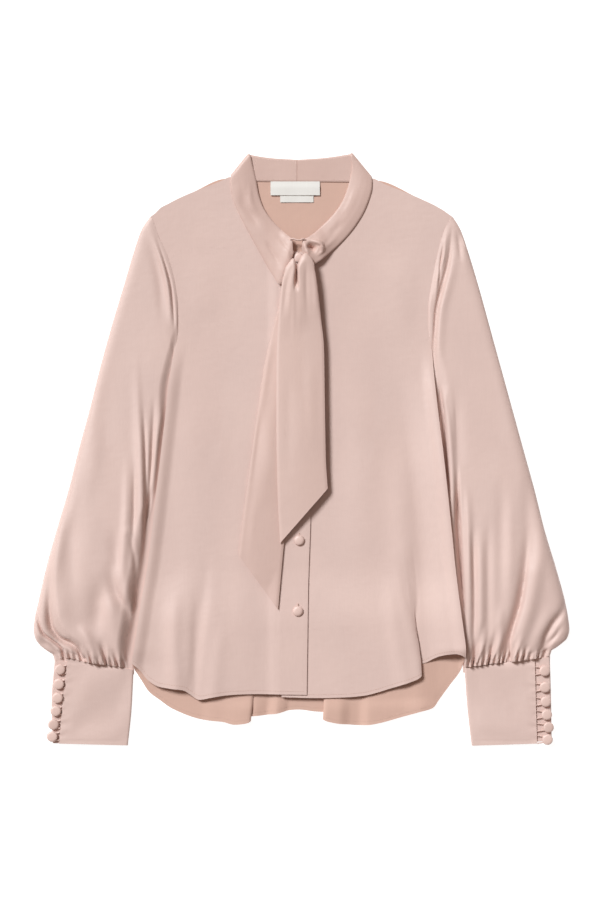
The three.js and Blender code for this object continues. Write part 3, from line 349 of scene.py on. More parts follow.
# Creases, drawn downwards: x and y of the points that each runs through, then its width on the
# left and right and its height. Troughs are negative.
FRONT_CREASES = (
    (-120, 120, -126, -60, -132, -262, 24, 30, 1.8),
    (-64, 60, -70, -100, -78, -284, 20, 22, 1.4),
    (70, 190, 74, 0, 76, -240, 22, 26, 1.6),
    (118, 20, 122, -90, 126, -190, 16, 18, 2.6),
    (116, 250, 120, 190, 120, 120, 24, 24, 1),
    (-120, 240, -117, 190, -112, 150, 24, 24, 0.9),
    (121, -120, 134, -195, 149, -262, 6, 12, -2.6),
    (104, -150, 112, -215, 124, -282, 10, 9, 1.6),
    (-150, -150, -153, -220, -149, -286, 10, 9, 2.2),
    (-122, -150, -126, -230, -125, -300, 7, 14, -2.2),
    (-92, -200, -99, -250, -106, -300, 9, 12, 1.4),
    (-10, -215, -12, -250, -14, -292, 9, 9, 0.6),
)
LEFT_CREASES = (
    (-198, 130, -195, 50, -192, -8, -191, -70, -192, -124, -197, -170, 6, 4, 3.2),
    (-190, 60, -187, 0, -186, -60, -187, -120, 2.4, 2.4, -3),
    (-208, 10, -209, -70, -213, -130, -216, -170, 5, 6, 2.6),
    (-200, -10, -200, -70, -203, -120, 3, 3, -2.2),
    (-176, 70, -178.5, 0, -184, -80, -189, -150, 3, 3, -5),
    (-205, -94, -202, -112, -199, -134, -198, -160, 3, 3, -2.6),
    (-214, -104, -206, -98, -200, -116, -196, -160, 3, 3, 1.4),
    (-250, 90, -257, 30, -265, -12, -270, -70, 9, 10, -1),
    (-240, 60, -245, 4, -256, -50, -260, -90, 9, 9, 0.7),
    (-234, 110, -238, 40, -232, -20, -226, -70, 12, 14, -1),
    (-276, -70, -276, -120, -272, -182, 12, 9, -2.4),
    (-287, -56, -289, -100, -293, -140, -294, -180, 5, 7, 1.2),
    (-316, -222, -308, -231, -297, -240, -290, -254, 6, 4, -4),
    (-226, -90, -222, -128, -219, -158, 8, 6, -2.2),
    (-256, -50, -253, -100, -254, -160, 14, 14, 0.9),
    (-238, -144, -243, -190, -246, -232, 12, 9, -4),
    (-232, -128, -224, -166, -211, -191, -199, -214, 8, 5, -5),
    (-222, -120, -209, -165, -201, -195, -198, -236, 7, 7, 3),
    (-230, -170, -226, -204, -216, -252, 9, 8, 1.8),
    (-292, -100, -292, -165, -289, -196, -278, -219, -261, -233, -250, -256, 4, 14, 4.2),
    (-301, -120, -302, -186, -300, -210, -289, -227, -273, -235, -262, -252, 4.4, 3.4, -8),
    (-318, -176, -315.6, -202, -310, -220, -298, -230, -287, -240, -283, -252, 2.4, 1.8, -7),
    (-268, -208, -254, -229, -246, -254, 4, 6, 2.4),
    (-277, -226, -267, -238, -262, -256, 3.4, 3.4, 2),
)
RIGHT_CREASES = (
    (164, 86, 168, 62, 170.5, 41, 172.6, 10, 176, -37, 178.5, -62, 3.8, 2, -12),
    (175, 60, 178, 28, 182, -37, 183.6, -80, 184, -100, 3, 3, 2),
    (188, -10, 188.6, -61, 190, -90, 192, -133, 195, -181, 199.4, -240, 4.4, 1.6, -16),
    (184, 84, 187, 20, 189, -40, 3, 8, -1.6),
    (198, -30, 200, -90, 201, -150, 203.6, -236, 3, 5, 2.6),
    (205, -90, 207, -130, 208, -190, 207, -256, 3.6, 4, -4),
    (214, -80, 214, -150, 213, -254, 5, 6, 1.6),
    (226, -70, 224, -130, 224, -200, 224.5, -254, 5, 5, -2),
    (240, -20, 241, -80, 240, -150, 239, -236, 8, 7, -1.8),
    (250, -40, 250, -120, 244, -220, 9, 7, 1.4),
    (272, 0, 272, -60, 273, -127, 270, -150, 8, 9, -2),
    (272, -90, 270, -136, 265, -179, 255, -215, 251, -233, 250, -258, 7, 2, -8),
    (290, -50, 286, -115, 281, -151, 273, -191, 262, -229, 258, -256, 8, 9, 3.4),
    (324, -166, 312, -196, 301, -212, 293, -229, 289, -254, 4.6, 4, -4.4),
    (316, -204, 306, -222, 296, -236, 294, -254, 3, 3, -2.6),
    (304, -180, 292, -206, 281, -230, 276, -254, 7, 7, 1.8),
    (241, -180, 238, -216, 238, -254, 5, 5, 1.6),
)
# Folds of the sleeve heads beside the armholes
LEFT_HEAD = (
    (-184, 266, -166, 220, -160, 190, -157, 138, 3, 2, 1.6),
    (-179, 262, -158.6, 190, -154.6, 138, 2.6, 2.4, 1.7),
    (-176, 262, -155.2, 190, -151.6, 140, 1.6, 1.4, -1.6),
    (-186, 262, -170, 200, -165, 140, 5, 5, -1.2),
)
RIGHT_HEAD = (
    (182, 284, 178, 231, 169, 193, 162.6, 162, 160, 115, 162, 76, 2.4, 2, -5),
    (188, 270, 184, 231, 175, 193, 168, 162, 165.6, 115, 168, 76, 2.4, 6, 1.8),
    (176, 270, 171, 231, 163.6, 200, 160, 170, 2.4, 2, 2),
    (172, 250, 168, 224, 164, 188, 1.4, 1.8, -2.6),
    (187, 266, 190, 244, 192, 222, 2.6, 3.4, -1.7),
    (193, 256, 196, 236, 200, 200, 5, 6, 0.9),
)
# Pits of the gathers above the cuffs: place along the seam, length, depth
LEFT_PITS = (
    (-285, 12, 3), (-277, 15, 3.4), (-270, 11, 2), (-263, 27, 5.2),
    (-257.5, 12, 2.4), (-251, 20, 5.4), (-242, 13, 2.4), (-233, 34, 5.6),
    (-226.5, 14, 2.6), (-219.5, 26, 5), (-211, 14, 2.6), (-204, 26, 5),
)
RIGHT_PITS = (
    (200.5, 30, 3.6), (206, 62, 5), (212, 18, 2.6), (218, 24, 3), (225, 52, 5.2),
    (232, 16, 2.6), (237.5, 30, 4.4), (242, 24, 4.8), (250.8, 40, 5), (259, 18, 4.6),
    (266, 22, 4), (274, 12, 2.4), (284, 16, 3.6), (292, 12, 3),
)


def mix(a, b, t):
    return a + (b - a) * t


def smooth(t):
    k = np.clip(t, 0, 1)
    return k * k * (3 - 2 * k)


def bell(t):
    return np.exp(-(t**2))


def read(rows, key, column, value):
    """A column of a table at places between its rows, smooth and never overshooting them."""
    k, c = rows[key], rows[column]
    if k[-1] < k[0]:
        k, c = k[::-1], c[::-1]
    step = np.diff(k)
    rise = np.diff(c) / step
    both = rise[:-1] * rise[1:]
    total = np.where(both > 0, rise[:-1] + rise[1:], 1)
    slope = np.concatenate(([rise[0]], np.where(both > 0, 2 * both / total, 0), [rise[-1]]))
    value = np.clip(value, k[0], k[-1])
    i = np.clip(np.searchsorted(k, value) - 1, 0, len(step) - 1)
    h = step[i]
    t = (value - k[i]) / h
    start = (1 + 2 * t) * (1 - t) ** 2 * c[i] + t * (1 - t) ** 2 * h * slope[i]
    return start + t * t * (3 - 2 * t) * c[i + 1] + t * t * (t - 1) * h * slope[i + 1]


def dense(values, step):
    """The values with more between them, none further apart than step."""
    out = [values[:1]]
    for a, b in zip(values[:-1], values[1:]):
        count = max(2, math.ceil((b - a) / step))
        out.append(np.linspace(a, b, count + 1)[1:])
    return np.concatenate(out)


def through(points, t):
    """A smooth curve through points that stand at 0, 1, 2 and so on."""
    places = np.arange(len(points), dtype=float)
    return [read({"k": places, "c": column}, "k", "c", t) for column in points.T]


def refine(points, downs, acrosses):
    """A finer grid on a smooth surface through a coarse one."""
    for count, turn in ((downs, False), (acrosses, True)):
        grid = np.swapaxes(points, 0, 1) if turn else points
        fine = np.linspace(0, len(grid) - 1, (len(grid) - 1) * count + 1)
        lines = [through(grid[:, j], fine) for j in range(grid.shape[1])]
        grid = np.array(lines).transpose(2, 0, 1)
        points = np.swapaxes(grid, 0, 1) if turn else grid
    return points


def creases(rows, x, y):
    """Height of all creases at points. Each is a bell across a curve and fades out at its ends."""
    height = np.zeros_like(x)
    for *line, left, right, high in rows:
        points = np.reshape(line, (-1, 2))
        bx, by = through(points, np.linspace(0, len(points) - 1, CREASE_STEPS + 1))
        best = np.full_like(x, 1e9)
        side = np.zeros_like(x)
        along = np.zeros_like(x)
        for i in range(CREASE_STEPS):
            dx, dy = bx[i + 1] - bx[i], by[i + 1] - by[i]
            k = np.clip(((x - bx[i]) * dx + (y - by[i]) * dy) / (dx * dx + dy * dy), 0, 1)
            ex, ey = x - bx[i] - k * dx, y - by[i] - k * dy
            away = np.hypot(ex, ey)
            near = away < best
            best = np.where(near, away, best)
            side = np.where(near, ex * dy - ey * dx, side)
            along = np.where(near, (i + k) / CREASE_STEPS, along)
        wide = np.where(side > 0, left, right)
        fade = smooth(along / CREASE_FADE)
        if points[-1, 1] >= CREASE_SEAM:
            fade = fade * smooth((1 - along) / CREASE_FADE)
        height += high * fade * bell(best / wide)
    return height


def side_at(sign, y):
    return read(SIDE, "ly", "lx", y) if sign < 0 else read(SIDE, "ry", "rx", y)


def inside_side(x, y):
    """How far a point of the body is inside its side edge."""
    edge = np.where(x < 0, -side_at(-1, y), side_at(1, y))
    return edge - np.abs(x)


def side_lift(x, y, reach, early):
    """How far a point of the body is raised near its sides, where it lies on the sleeves."""
    under = np.where(x < 0, UNDERARM[-1], UNDERARM[1])
    start = smooth((under + early - y) / 60)
    end = smooth((y + 288) / 18)
    inside = inside_side(x, y)
    swell = SIDE_SWELL * np.where(x < 0, *SIDE_SHARE)
    swell = swell * smooth((under - 4 - y) / 165) * smooth((y + 262) / 24)
    swell = swell * (1 - smooth(inside / np.where(x < 0, *SIDE_REACH)))
    steep = 1 - smooth((inside - 0.6) / reach) if reach < 10 else 1
    return (SIDE_LIFT * (1 - smooth((inside - 2) / reach)) + swell * steep) * start * end


def front_height(x, y):
    near_hem = smooth((HEM_START - y) / HEM_RISE)
    calm = smooth((np.abs(x + 7) - 20) / 30)
    near_side = smooth(inside_side(x, y) / 30)
    waves = creases(FRONT_CREASES, x, y)
    waves = np.maximum(waves, -0.6 - HEM_SWELL * 0.5 * near_hem) * calm * near_side
    return FRONT_MID + HEM_SWELL * near_hem + waves + side_lift(x, y, 14, 2)


def over_height(x, y):
    """The left front, which steps up over the right one near the closing."""
    return front_height(x, y) + LAYER * smooth((x + 42) / 14)


def patch(u, v, top, end, left, right):
    """Points in x and y of the surface that fills the outline of four curves."""
    above, below, before, after = top(u), end(u), left(v), right(v)
    top_start, top_end = top(0 * u), top(0 * u + 1)
    end_start, end_end = end(0 * u), end(0 * u + 1)
    return [
        mix(above[n], below[n], v)
        + mix(before[n], after[n], u)
        - mix(mix(top_start[n], top_end[n], u), mix(end_start[n], end_end[n], u), v)
        for n in (0, 1)
    ]


def curve(rows, key, x, y):
    return lambda t: (read(rows, key, x, t), read(rows, key, y, t))


def straight(left, right, v):
    """The straight line between two curves at one place along them."""
    return lambda u: [mix(left(v)[n], right(v)[n], u) for n in (0, 1)]


def normals(grid, closed):
    if closed:
        across = np.roll(grid, -1, 1) - np.roll(grid, 1, 1)
    else:
        across = np.gradient(grid, axis=1)
    down = np.gradient(grid, axis=0)
    normal = np.cross(down, across)
    return normal / np.maximum(np.linalg.norm(normal, axis=2, keepdims=True), 1e-9)


def shell(name, grid, thick, outer, inner, closed=False):
    """Thin closed shell on both sides of a grid of points, with a finish for each side."""
    grid = np.asarray(grid, float)
    rows, columns = grid.shape[:2]
    half = np.broadcast_to(np.asarray(thick, float) / 2, (rows, columns))[..., None]
    normal = normals(grid, closed)
    sides = (grid + normal * half, grid - normal * half)
    points = np.concatenate([side.reshape(-1, 3) for side in sides])
    index = np.arange(rows * columns).reshape(rows, columns)
    if closed:
        index = np.concatenate([index, index[:, :1]], 1)
    a, b, c, d = index[:-1, :-1], index[1:, :-1], index[1:, 1:], index[:-1, 1:]
    top = np.stack([a, b, c, d], -1).reshape(-1, 4)
    under = rows * columns
    bottom = np.stack([a, d, c, b], -1).reshape(-1, 4) + under
    edges = [(index[0], False), (index[-1], True)]
    if not closed:
        edges += [(index[:, 0], True), (index[:, -1], False)]
    rims = []
    for line, back in edges:
        p, q = (line[1:], line[:-1]) if back else (line[:-1], line[1:])
        rims.append(np.stack([p, q, q + under, p + under], -1))
    rim = np.concatenate(rims)
    faces = np.concatenate([top, bottom, rim])
    slots = np.concatenate([np.zeros(len(top)), np.ones(len(bottom)), np.zeros(len(rim))])
    return build(name, points, faces.tolist(), [outer, inner], slots.astype(np.int32))


def put(name, data):
    piece = bpy.data.objects.new(name, data)
    bpy.context.scene.collection.objects.link(piece)
    return piece


def fill(node, **values):
    """Values of a node's inputs, named with _ for each space."""
    for key, value in values.items():
        node.inputs[key.replace("_", " ")].default_value = value


def build(name, points, faces, finishes, slots=None):
    """A mesh object from points in millimetres. slots says which finish each face has."""
    mesh = bpy.data.meshes.new(name)
    mesh.from_pydata((np.asarray(points) * MM).tolist(), [], faces)
    for finish in finishes:
        mesh.materials.append(finish)
    if slots is not None:
        mesh.polygons.foreach_set("material_index", slots)
    mesh.polygons.foreach_set("use_smooth", np.ones(len(mesh.polygons), bool))
    mesh.set_sharp_from_angle(angle=math.radians(50))
    mesh.validate()
    mesh.update()
    return put(name, mesh)


def dressed(piece, slot, *nodes):
    """The piece, on the one body and in place of the nodes. The slot is not used."""
    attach(piece, "root")
    if nodes:
        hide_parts(*nodes)
    return piece


def cloth(node, slot, *form, closed=False):
    """The cloth that is seen in place of a node."""
    return dressed(shell(f"{node}_cloth", *form, closed=closed), slot, node)


# Finishes
def fabric(name, colour, rough, sheen, gloss, wrinkle, sateen=True):
    """Woven cloth: threads and slubs of a fine weave, soft unevenness and shifts of colour."""
    finish = bpy.data.materials.new(name)
    finish.use_nodes = True
    nodes, links = finish.node_tree.nodes, finish.node_tree.links
    shader = nodes["Principled BSDF"]
    fill(shader, Roughness=rough, Specular_IOR_Level=gloss)
    fill(shader, Sheen_Weight=sheen, Sheen_Roughness=0.45, Sheen_Tint=(1, 0.93, 0.9, 1))
    if sateen:
        fill(shader, Anisotropic=0.35)
    place = nodes.new("ShaderNodeTexCoord").outputs["Object"]

    def noise(scale, detail, stretch=(1, 1, 1)):
        turn = nodes.new("ShaderNodeMapping")
        fill(turn, Scale=stretch)
        links.new(place, turn.inputs["Vector"])
        node = nodes.new("ShaderNodeTexNoise")
        fill(node, Scale=scale, Detail=detail)
        links.new(turn.outputs["Vector"], node.inputs["Vector"])
        return node.outputs["Fac"]

    def ramp(value, low, high):
        node = nodes.new("ShaderNodeMapRange")
        fill(node, From_Min=0.3, From_Max=0.7, To_Min=low, To_Max=high)
        links.new(value, node.inputs["Value"])
        return node.outputs["Result"]

    def tint(previous, value, low, high):
        node = nodes.new("ShaderNodeMix")
        node.data_type = "RGBA"
        node.blend_type = "MULTIPLY"
        fill(node, Factor=1)
        shade = nodes.new("ShaderNodeMix")
        shade.data_type = "RGBA"
        fill(shade, A=(*low, 1), B=(*high, 1))
        links.new(value, shade.inputs["Factor"])
        if isinstance(previous, tuple):
            fill(node, A=(*previous, 1))
        else:
            links.new(previous, node.inputs["A"])
        links.new(shade.outputs["Result"], node.inputs["B"])
        return node.outputs["Result"]

    clouds = noise(14, 3)
    slubs = noise(70, 3, (9, 1, 1))
    colour = tint(colour, ramp(clouds, 0, 1), (0.975, 0.965, 0.96), (1.02, 1.01, 1))
    colour = tint(colour, ramp(slubs, 0, 1), (0.985, 0.985, 0.985), (1.01, 1.01, 1.01))
    links.new(colour, shader.inputs["Base Color"])
    links.new(ramp(noise(60, 3, (1, 5, 1)), rough - 0.05, rough + 0.06), shader.inputs["Roughness"])

    threads = nodes.new("ShaderNodeTexWave")
    threads.bands_direction = "DIAGONAL"
    fill(threads, Scale=620, Distortion=1.5)
    links.new(place, threads.inputs["Vector"])
    normal = None
    for value, reach, strength in (
        (noise(20, 2, (1, 0.5, 1)), 0.0006 * wrinkle, 1),
        (noise(95, 3, (1, 1.6, 1)), 0.00022 * wrinkle, 1),
        (slubs, 0.00006, 0.6),
        (threads.outputs["Fac"], 0.00004, 0.35),
    ):
        bump = nodes.new("ShaderNodeBump")
        fill(bump, Distance=reach, Strength=strength)
        links.new(value, bump.inputs["Height"])
        if normal is not None:
            links.new(normal, bump.inputs["Normal"])
        normal = bump.outputs["Normal"]
    links.new(normal, shader.inputs["Normal"])
    return finish


SATIN = fabric("satin_face", (0.7, 0.527, 0.48), 0.5, 0.12, 0.36, 1)
REVERSE = fabric("satin_reverse", (0.645, 0.43, 0.355), 0.72, 0.25, 0.2, 0.8, False)
TIE = fabric("tie_satin_face", (0.68, 0.5, 0.448), 0.46, 0.12, 0.4, 0.7)
# Darker copy of the tie satin, as painted shade: worn by the neck band halves, the back tie end and
# the knot strand
SHADED_TIE = fabric("tie_satin_painted_shade", (0.645, 0.462, 0.41), 0.46, 0.12, 0.4, 0.7)
COVER = fabric("covered_satin", (0.74, 0.545, 0.49), 0.4, 0.3, 0.5, 0.3)
THREAD = fabric("thread", (0.6, 0.42, 0.36), 0.6, 0.2, 0.3, 0.1, False)
PAPER = fabric("label_tape", (0.79, 0.78, 0.75), 0.6, 0.2, 0.3, 0.3, False)


# Panels
def panel(u, v, rows, top, left, right):
    """Grid of a body panel: x, y, x moved by the hem's pleats, their lift and the place down."""
    grid_u, grid_v = np.meshgrid(dense(rows["u"], u), dense(SIDE["v"], v))
    end = curve(rows, "u", "x", "y")
    x, y = patch(grid_u, grid_v, top, end, left, right)
    shift = read(rows, "u", "shift", grid_u) * smooth((grid_v - 0.84) / 0.1)
    lift = read(rows, "u", "lift", grid_u) * smooth((grid_v - 0.7) / 0.14)
    return x, y, x + shift, lift, grid_v


left_edge = curve(SIDE, "v", "lx", "ly")
right_edge = curve(SIDE, "v", "rx", "ry")


def hem_groove(v, length, depth=0.35):
    """The shallow line that the hem's stitches press into the cloth."""
    return -depth * bell(((1 - v) * length - HEM_STITCH) / 0.9)


def back_grid():
    top = curve(BACK_TOP, "u", "x", "y")
    x, y, moved, lift, v = panel(0.0065, 0.009, BACK_HEM, top, left_edge, right_edge)
    lift = lift * (1 + 0.7 * smooth((-299 - y) / 12))
    z = BACK_MID + lift + side_lift(x, y, 5, -4) + hem_groove(v, BACK_LENGTH, 0.5)
    return np.stack([moved, y, z], -1), v


def front_edge(column, top, end):
    """The long edge of a front at the closing, from its top to the hem."""
    return lambda v: (read(FRONT_EDGE, "y", column, mix(top, end, v)), mix(top, end, v))


def front_grid(rows, sign):
    if sign < 0:
        sides = (left_edge, front_edge("over", 237, -294.8))
        height = over_height
    else:
        sides = (front_edge("under", 236.6, -297.6), right_edge)
        height = front_height
    top = curve(rows, "u", "topx", "topy")
    x, y, moved, lift, v = panel(0.012, 0.006, rows, top, *sides)
    z = height(x, y) + lift + hem_groove(v, FRONT_LENGTH)
    if sign < 0:
        edge = read(FRONT_EDGE, "y", "over", y) - x
        z += 0.3 * smooth((36 - edge) / 2) * smooth((edge + 1) / 2) * smooth((y + 300) / 8)
    return np.stack([moved, y, z], -1), v


def along_row(grid, v, place):
    """The grid's points along one row between its rows, and their normals."""
    column = v[:, 0]
    i = np.clip(np.searchsorted(column, place) - 1, 0, len(column) - 2)
    t = (place - column[i]) / (column[i + 1] - column[i])
    normal = normals(grid, False)
    return mix(grid[i], grid[i + 1], t), mix(normal[i], normal[i + 1], t)


def ring_faces(base, rings, sides):
    """Faces of a closed tube whose rings of points follow one another from base."""
    faces = []
    for start in range(base, base + (rings - 1) * sides, sides):
        for n in range(sides):
            a, b = start + n, start + (n + 1) % sides
            faces.append([a, b, b + sides, a + sides])
    faces.append([base + n for n in reversed(range(sides))])
    faces.append([base + (rings - 1) * sides + n for n in range(sides)])
    return faces


def stitches(name, line, normal, raise_by, length=2.1, space=0.9, radius=0.24):
    """A row of lockstitches: short spindles of thread along a line."""
    away = np.concatenate(([0], np.cumsum(np.linalg.norm(np.diff(line, axis=0), axis=1))))
    points, faces = [], []
    sides = 6
    for start in np.arange(1.5, away[-1] - length - 1, length + space):
        ends = [
            np.array([np.interp(s, away, line[:, n]) for n in range(3)])
            for s in (start, start + length)
        ]
        up = np.array([np.interp(start + length / 2, away, normal[:, n]) for n in range(3)])
        along = ends[1] - ends[0]
        out = np.cross(along, up)
        out /= max(np.linalg.norm(out), 1e-9)
        base = len(points)
        rings = ((0, 0.35), (0.25, 1), (0.75, 1), (1, 0.35))
        for t, r in rings:
            middle = mix(ends[0], ends[1], t) + up * (raise_by - 0.12 * abs(t - 0.5))
            for n in range(sides):
                angle = 2 * math.pi * n / sides
                points.append(middle + radius * r * (math.cos(angle) * out + math.sin(angle) * up))
        faces += ring_faces(base, len(rings), sides)
    return build(name, np.array(points), faces, [THREAD])


grid, v = back_grid()
back = cloth("back", "satin", grid, SHEET, REVERSE, SATIN)
line, normal = along_row(grid, v, 1 - HEM_STITCH / BACK_LENGTH)
back_hem = dressed(stitches("back_hem_stitches", line, normal, SHEET / 2 + 0.1), "satin")

fronts, hems = {}, {}
for sign, word, rows in ((-1, "left", LEFT_FRONT), (1, "right", RIGHT_FRONT)):
    grid, v = front_grid(rows, sign)
    fronts[sign] = cloth(f"front_{word}", "satin", grid, SHEET, SATIN, REVERSE)
    line, normal = along_row(grid, v, 1 - HEM_STITCH / FRONT_LENGTH)
    hem = stitches(f"front_{word}_hem_stitches", line, normal, SHEET / 2 + 0.1)
    hems[sign] = dressed(hem, "satin")


# Sleeves
def sleeve_inner(sign, y):
    """Inner edge of a sleeve: along the armhole, then tucked under the body's side."""
    under = smooth((UNDERARM[sign] - 20 - y) / 12)
    return side_at(sign, y) - sign * mix(1, SIDE_TUCK - CLOTH / 2, under)


def sleeve_gathers(sign, x, y, s, pull, seam_x):
    """Height of the gathers above a cuff: fine waves along the seam, and its pits."""
    height = 0.5 * pull * np.cos(2 * np.pi * (8 * s + 0.9 * np.sin(5 * s)))
    for px, length, depth in LEFT_PITS if sign < 0 else RIGHT_PITS:
        share = np.clip((px - seam_x[0]) / (seam_x[1] - seam_x[0]), 0, 1)
        up = y - read(CUFF_SEAM, "s", "ly" if sign < 0 else "ry", share)
        lean = px + sign * 0.22 * up
        wide = 1.25 + 0.07 * np.clip(up, 0, 30)
        off = (x - lean) / wide
        pit = bell(off) - 0.32 * bell((np.abs(off) - 2.1) / 0.8)
        height = height - depth * pit * smooth((length - up) / length)
    return height


def sleeve_grid(sign):
    """Closed rings down a sleeve: upper layer, outer edge, lower layer and inner edge."""
    hand = "l" if sign < 0 else "r"
    rows = SLEEVE_ROWS
    k = dense(rows["k"], 0.11)[:, None]
    columns = ("iny", "outy", "high", "arm", "cuff")
    in_y, out_y, high, arm, pull = (read(rows, "k", c, k) for c in columns)
    in_x = sleeve_inner(sign, in_y)
    out_x = read(SLEEVE_OUT, "y", f"{hand}x", out_y) - sign * CLOTH / 2
    width = np.hypot(out_x - in_x, out_y - in_y)
    (first_in, last_in), (first_out, last_out) = (rows[c][[0, -1]] for c in ("iny", "outy"))

    def place(s):
        """Points at shares of the width, bowed along the armhole and level with the cuff's seam."""
        x, y = mix(in_x, out_x, s), mix(in_y, out_y, s)
        ends = (sleeve_inner(sign, first_in), read(SLEEVE_OUT, "y", f"{hand}x", first_out))
        bow = side_at(sign, mix(first_in, first_out, s)) - sign - mix(*ends, s)
        x = x + arm * bow * smooth(s / 0.02) * smooth((1 - s) / 0.02)
        seam = read(CUFF_SEAM, "s", f"{hand}y", s) + GAP + 0.1
        y = y + pull * (seam - mix(last_in, last_out, s))
        return x, y

    near = SLEEVE_RIM / width
    s = near + (1 - 2 * near) * np.linspace(0, 1, 96)[None, :]
    x, y = place(s)
    low = -90 if sign < 0 else -300
    beside = smooth((80 - y) / 50) * smooth((y - low) / 50)
    tucked_in = mix(5.5, 2.4 if sign < 0 else 0.4, beside)
    reach = np.maximum(s * width - tucked_in, 0) / (width - tucked_in)
    steep = mix(0.24, 0.016, beside) if sign > 0 else mix(0.16, 0.09, beside)
    start = smooth(reach / steep)
    end = np.clip(1 - (np.maximum(reach - 0.86, 0) / 0.14) ** 2.6, 0, 1) ** (1 / 2.2)
    end = end * mix(1, 0.93, reach)
    rounded = start * end
    folds = creases(LEFT_CREASES if sign < 0 else RIGHT_CREASES, x, y)
    gathers = sleeve_gathers(sign, x, y, s, pull, (in_x[-1], out_x[-1]))
    head = creases(LEFT_HEAD if sign < 0 else RIGHT_HEAD, x, y)
    wavy = (folds + gathers) * smooth(rounded * 2.2) + head * smooth(reach * 30 + 0.3)
    z = 1.8 + (high - 1.8) * rounded + wavy
    z = BACK_MID + SLEEVE_LOW + np.log1p(np.exp((z - SLEEVE_LOW) * 3)) / 3
    top = np.stack([x, y, z], -1)
    flat = mix(1 - near, near, np.linspace(0, 1, 14)[None, :])
    x, y = place(flat)
    bottom = np.stack([x, y, np.full_like(x, BACK_MID)], -1)
    rims = []
    for edge in (0, 1):
        x, y = place(np.full_like(near, edge))
        rims.append(np.stack([x, y, np.full_like(x, BACK_MID + SLEEVE_LOW)], -1))
    ring = np.concatenate([rims[0], top, rims[1], bottom], 1)
    tucked = []
    for drop, height in ((0.7, 2.7), (3.4, 2.3), (6.8, 2)):
        last_ring = ring[-1:].copy()
        last_ring[..., 1] -= drop
        last_ring[..., 2] = np.minimum(last_ring[..., 2], height)
        tucked.append(last_ring)
    ring = np.concatenate([ring, *tucked])
    return ring if sign > 0 else ring[:, ::-1]


for sign, word in ((-1, "left"), (1, "right")):
    form = (sleeve_grid(sign), SHEET, SATIN, REVERSE)
    sleeve = cloth(f"sleeve_{word}", "satin", *form, closed=True)


# Cuffs
def cuff_grid(sign, rows):
    """A cuff folded flat: overlap on top, lower layer, and underlap at the outer edge."""
    low = CUFF / 2
    lap = low + CUFF + 0.5
    top = lap + CUFF + GAP
    steps = (
        ("lap", "in", 0.02, top),
        ("lap", "in", 0.16, top),
        ("lap", "in", 0.3, top - 0.2),
        ("lap", "in", 0.6, top - 0.6),
        ("lap", "in", 0.86, top - 1.4),
        ("lap", "in", 1 - 1.9 / 88, low + 2.1),
        ("lap", "in", 1 - 0.8 / 90, low + 1.05),
        ("in", "out", 1.9 / 96, low),
        ("in", "out", 0.35, low),
        ("in", "out", 0.7, low),
        ("in", "out", 1 - 1.9 / 96, low),
        ("in", "out", 1 - 0.8 / 96, low + 1.05),
        ("in", "out", 1 - 1.9 / 96, lap),
        ("in", "out", 0.9, lap),
        ("in", "out", 0.76, lap),
    )
    grid = []
    for v in np.linspace(0, 1, 9):
        at = {
            edge: np.array([read(rows, "v", f"{edge}{axis}", v) for axis in "xy"])
            for edge in ("in", "lap", "out")
        }
        grid.append([(*mix(at[a], at[b], t), z) for a, b, t, z in steps])
    grid = refine(np.array(grid, float), 7, 8)
    return grid if sign < 0 else grid[:, ::-1]


def cuff_puckers(grid, sign, rows, buttons):
    """Small pulls from the overlap edge at each loop, and soft ripples of the pressed cloth."""
    x, y, z = grid[..., 0], grid[..., 1], grid[..., 2]
    v = np.clip((CUFF_TOP - y) / CUFF_LENGTH, 0, 1)
    inward = sign * (read(rows, "v", "lapx", v) - x)
    upper = smooth((z - 2.9) / 0.8) * smooth((inward + 1) / 3)
    pull = np.zeros_like(x)
    for n, (bx, by) in enumerate(buttons):
        long = 9 + 5 * ((n * 5) % 3)
        for offset, slant, high in ((4, 0.3, 0.4), (-4, -0.25, 0.34), (0, 0.05, -0.4)):
            away = y - by - offset - (slant + 0.05 * (n % 3)) * inward
            across = bell(away / (1.7 + 0.06 * np.abs(inward)))
            pull += high * across * smooth((long - inward) / long) * smooth((inward + 2) / 4)
    ripple = 1.3 * np.sin((0.6 * sign * x + y) / 15 + 2.4 * sign)
    ripple = ripple * smooth((inward - 8) / 24) * smooth(v * 8) * smooth((1 - v) * 4)
    from_top = v * CUFF_LENGTH
    seam = -0.5 * bell(from_top - 3.4) - 0.3 * bell(CUFF_LENGTH - from_top - 3.2)
    grid = grid.copy()
    grid[..., 2] = z + upper * (pull + ripple + seam)
    return grid


def revolved(name, profile, x, y, z, tilt, finish, sides=36):
    """Covered button: its profile turned about its axis, with slight folds round the rim."""
    points, faces = [[0, 0, profile[0][1]]], []
    for r, h in profile[1:-1]:
        for n in range(sides):
            angle = 2 * math.pi * n / sides
            fold = 1 - 0.018 * (n % 3 == 0) * (r > 4) * (h < 4.6)
            points.append([r * fold * math.cos(angle), r * fold * math.sin(angle), h])
    points.append([0, 0, profile[-1][1]])
    points = np.array(points)
    top = points[:, 2] > profile[-1][1] * 0.42
    points[:, 2] += np.where(top, points[:, 0] * tilt[0] + points[:, 1] * tilt[1], 0)
    rings = len(profile) - 2
    last = 1 + rings * sides
    for n in range(sides):
        m = (n + 1) % sides
        faces.append([0, 1 + m, 1 + n])
        for k in range(rings - 1):
            a, b = 1 + k * sides, 1 + (k + 1) * sides
            faces.append([a + n, a + m, b + m, b + n])
        faces.append([last, last - sides + n, last - sides + m])
    return build(name, points + np.array([x, y, z]), faces, [finish])


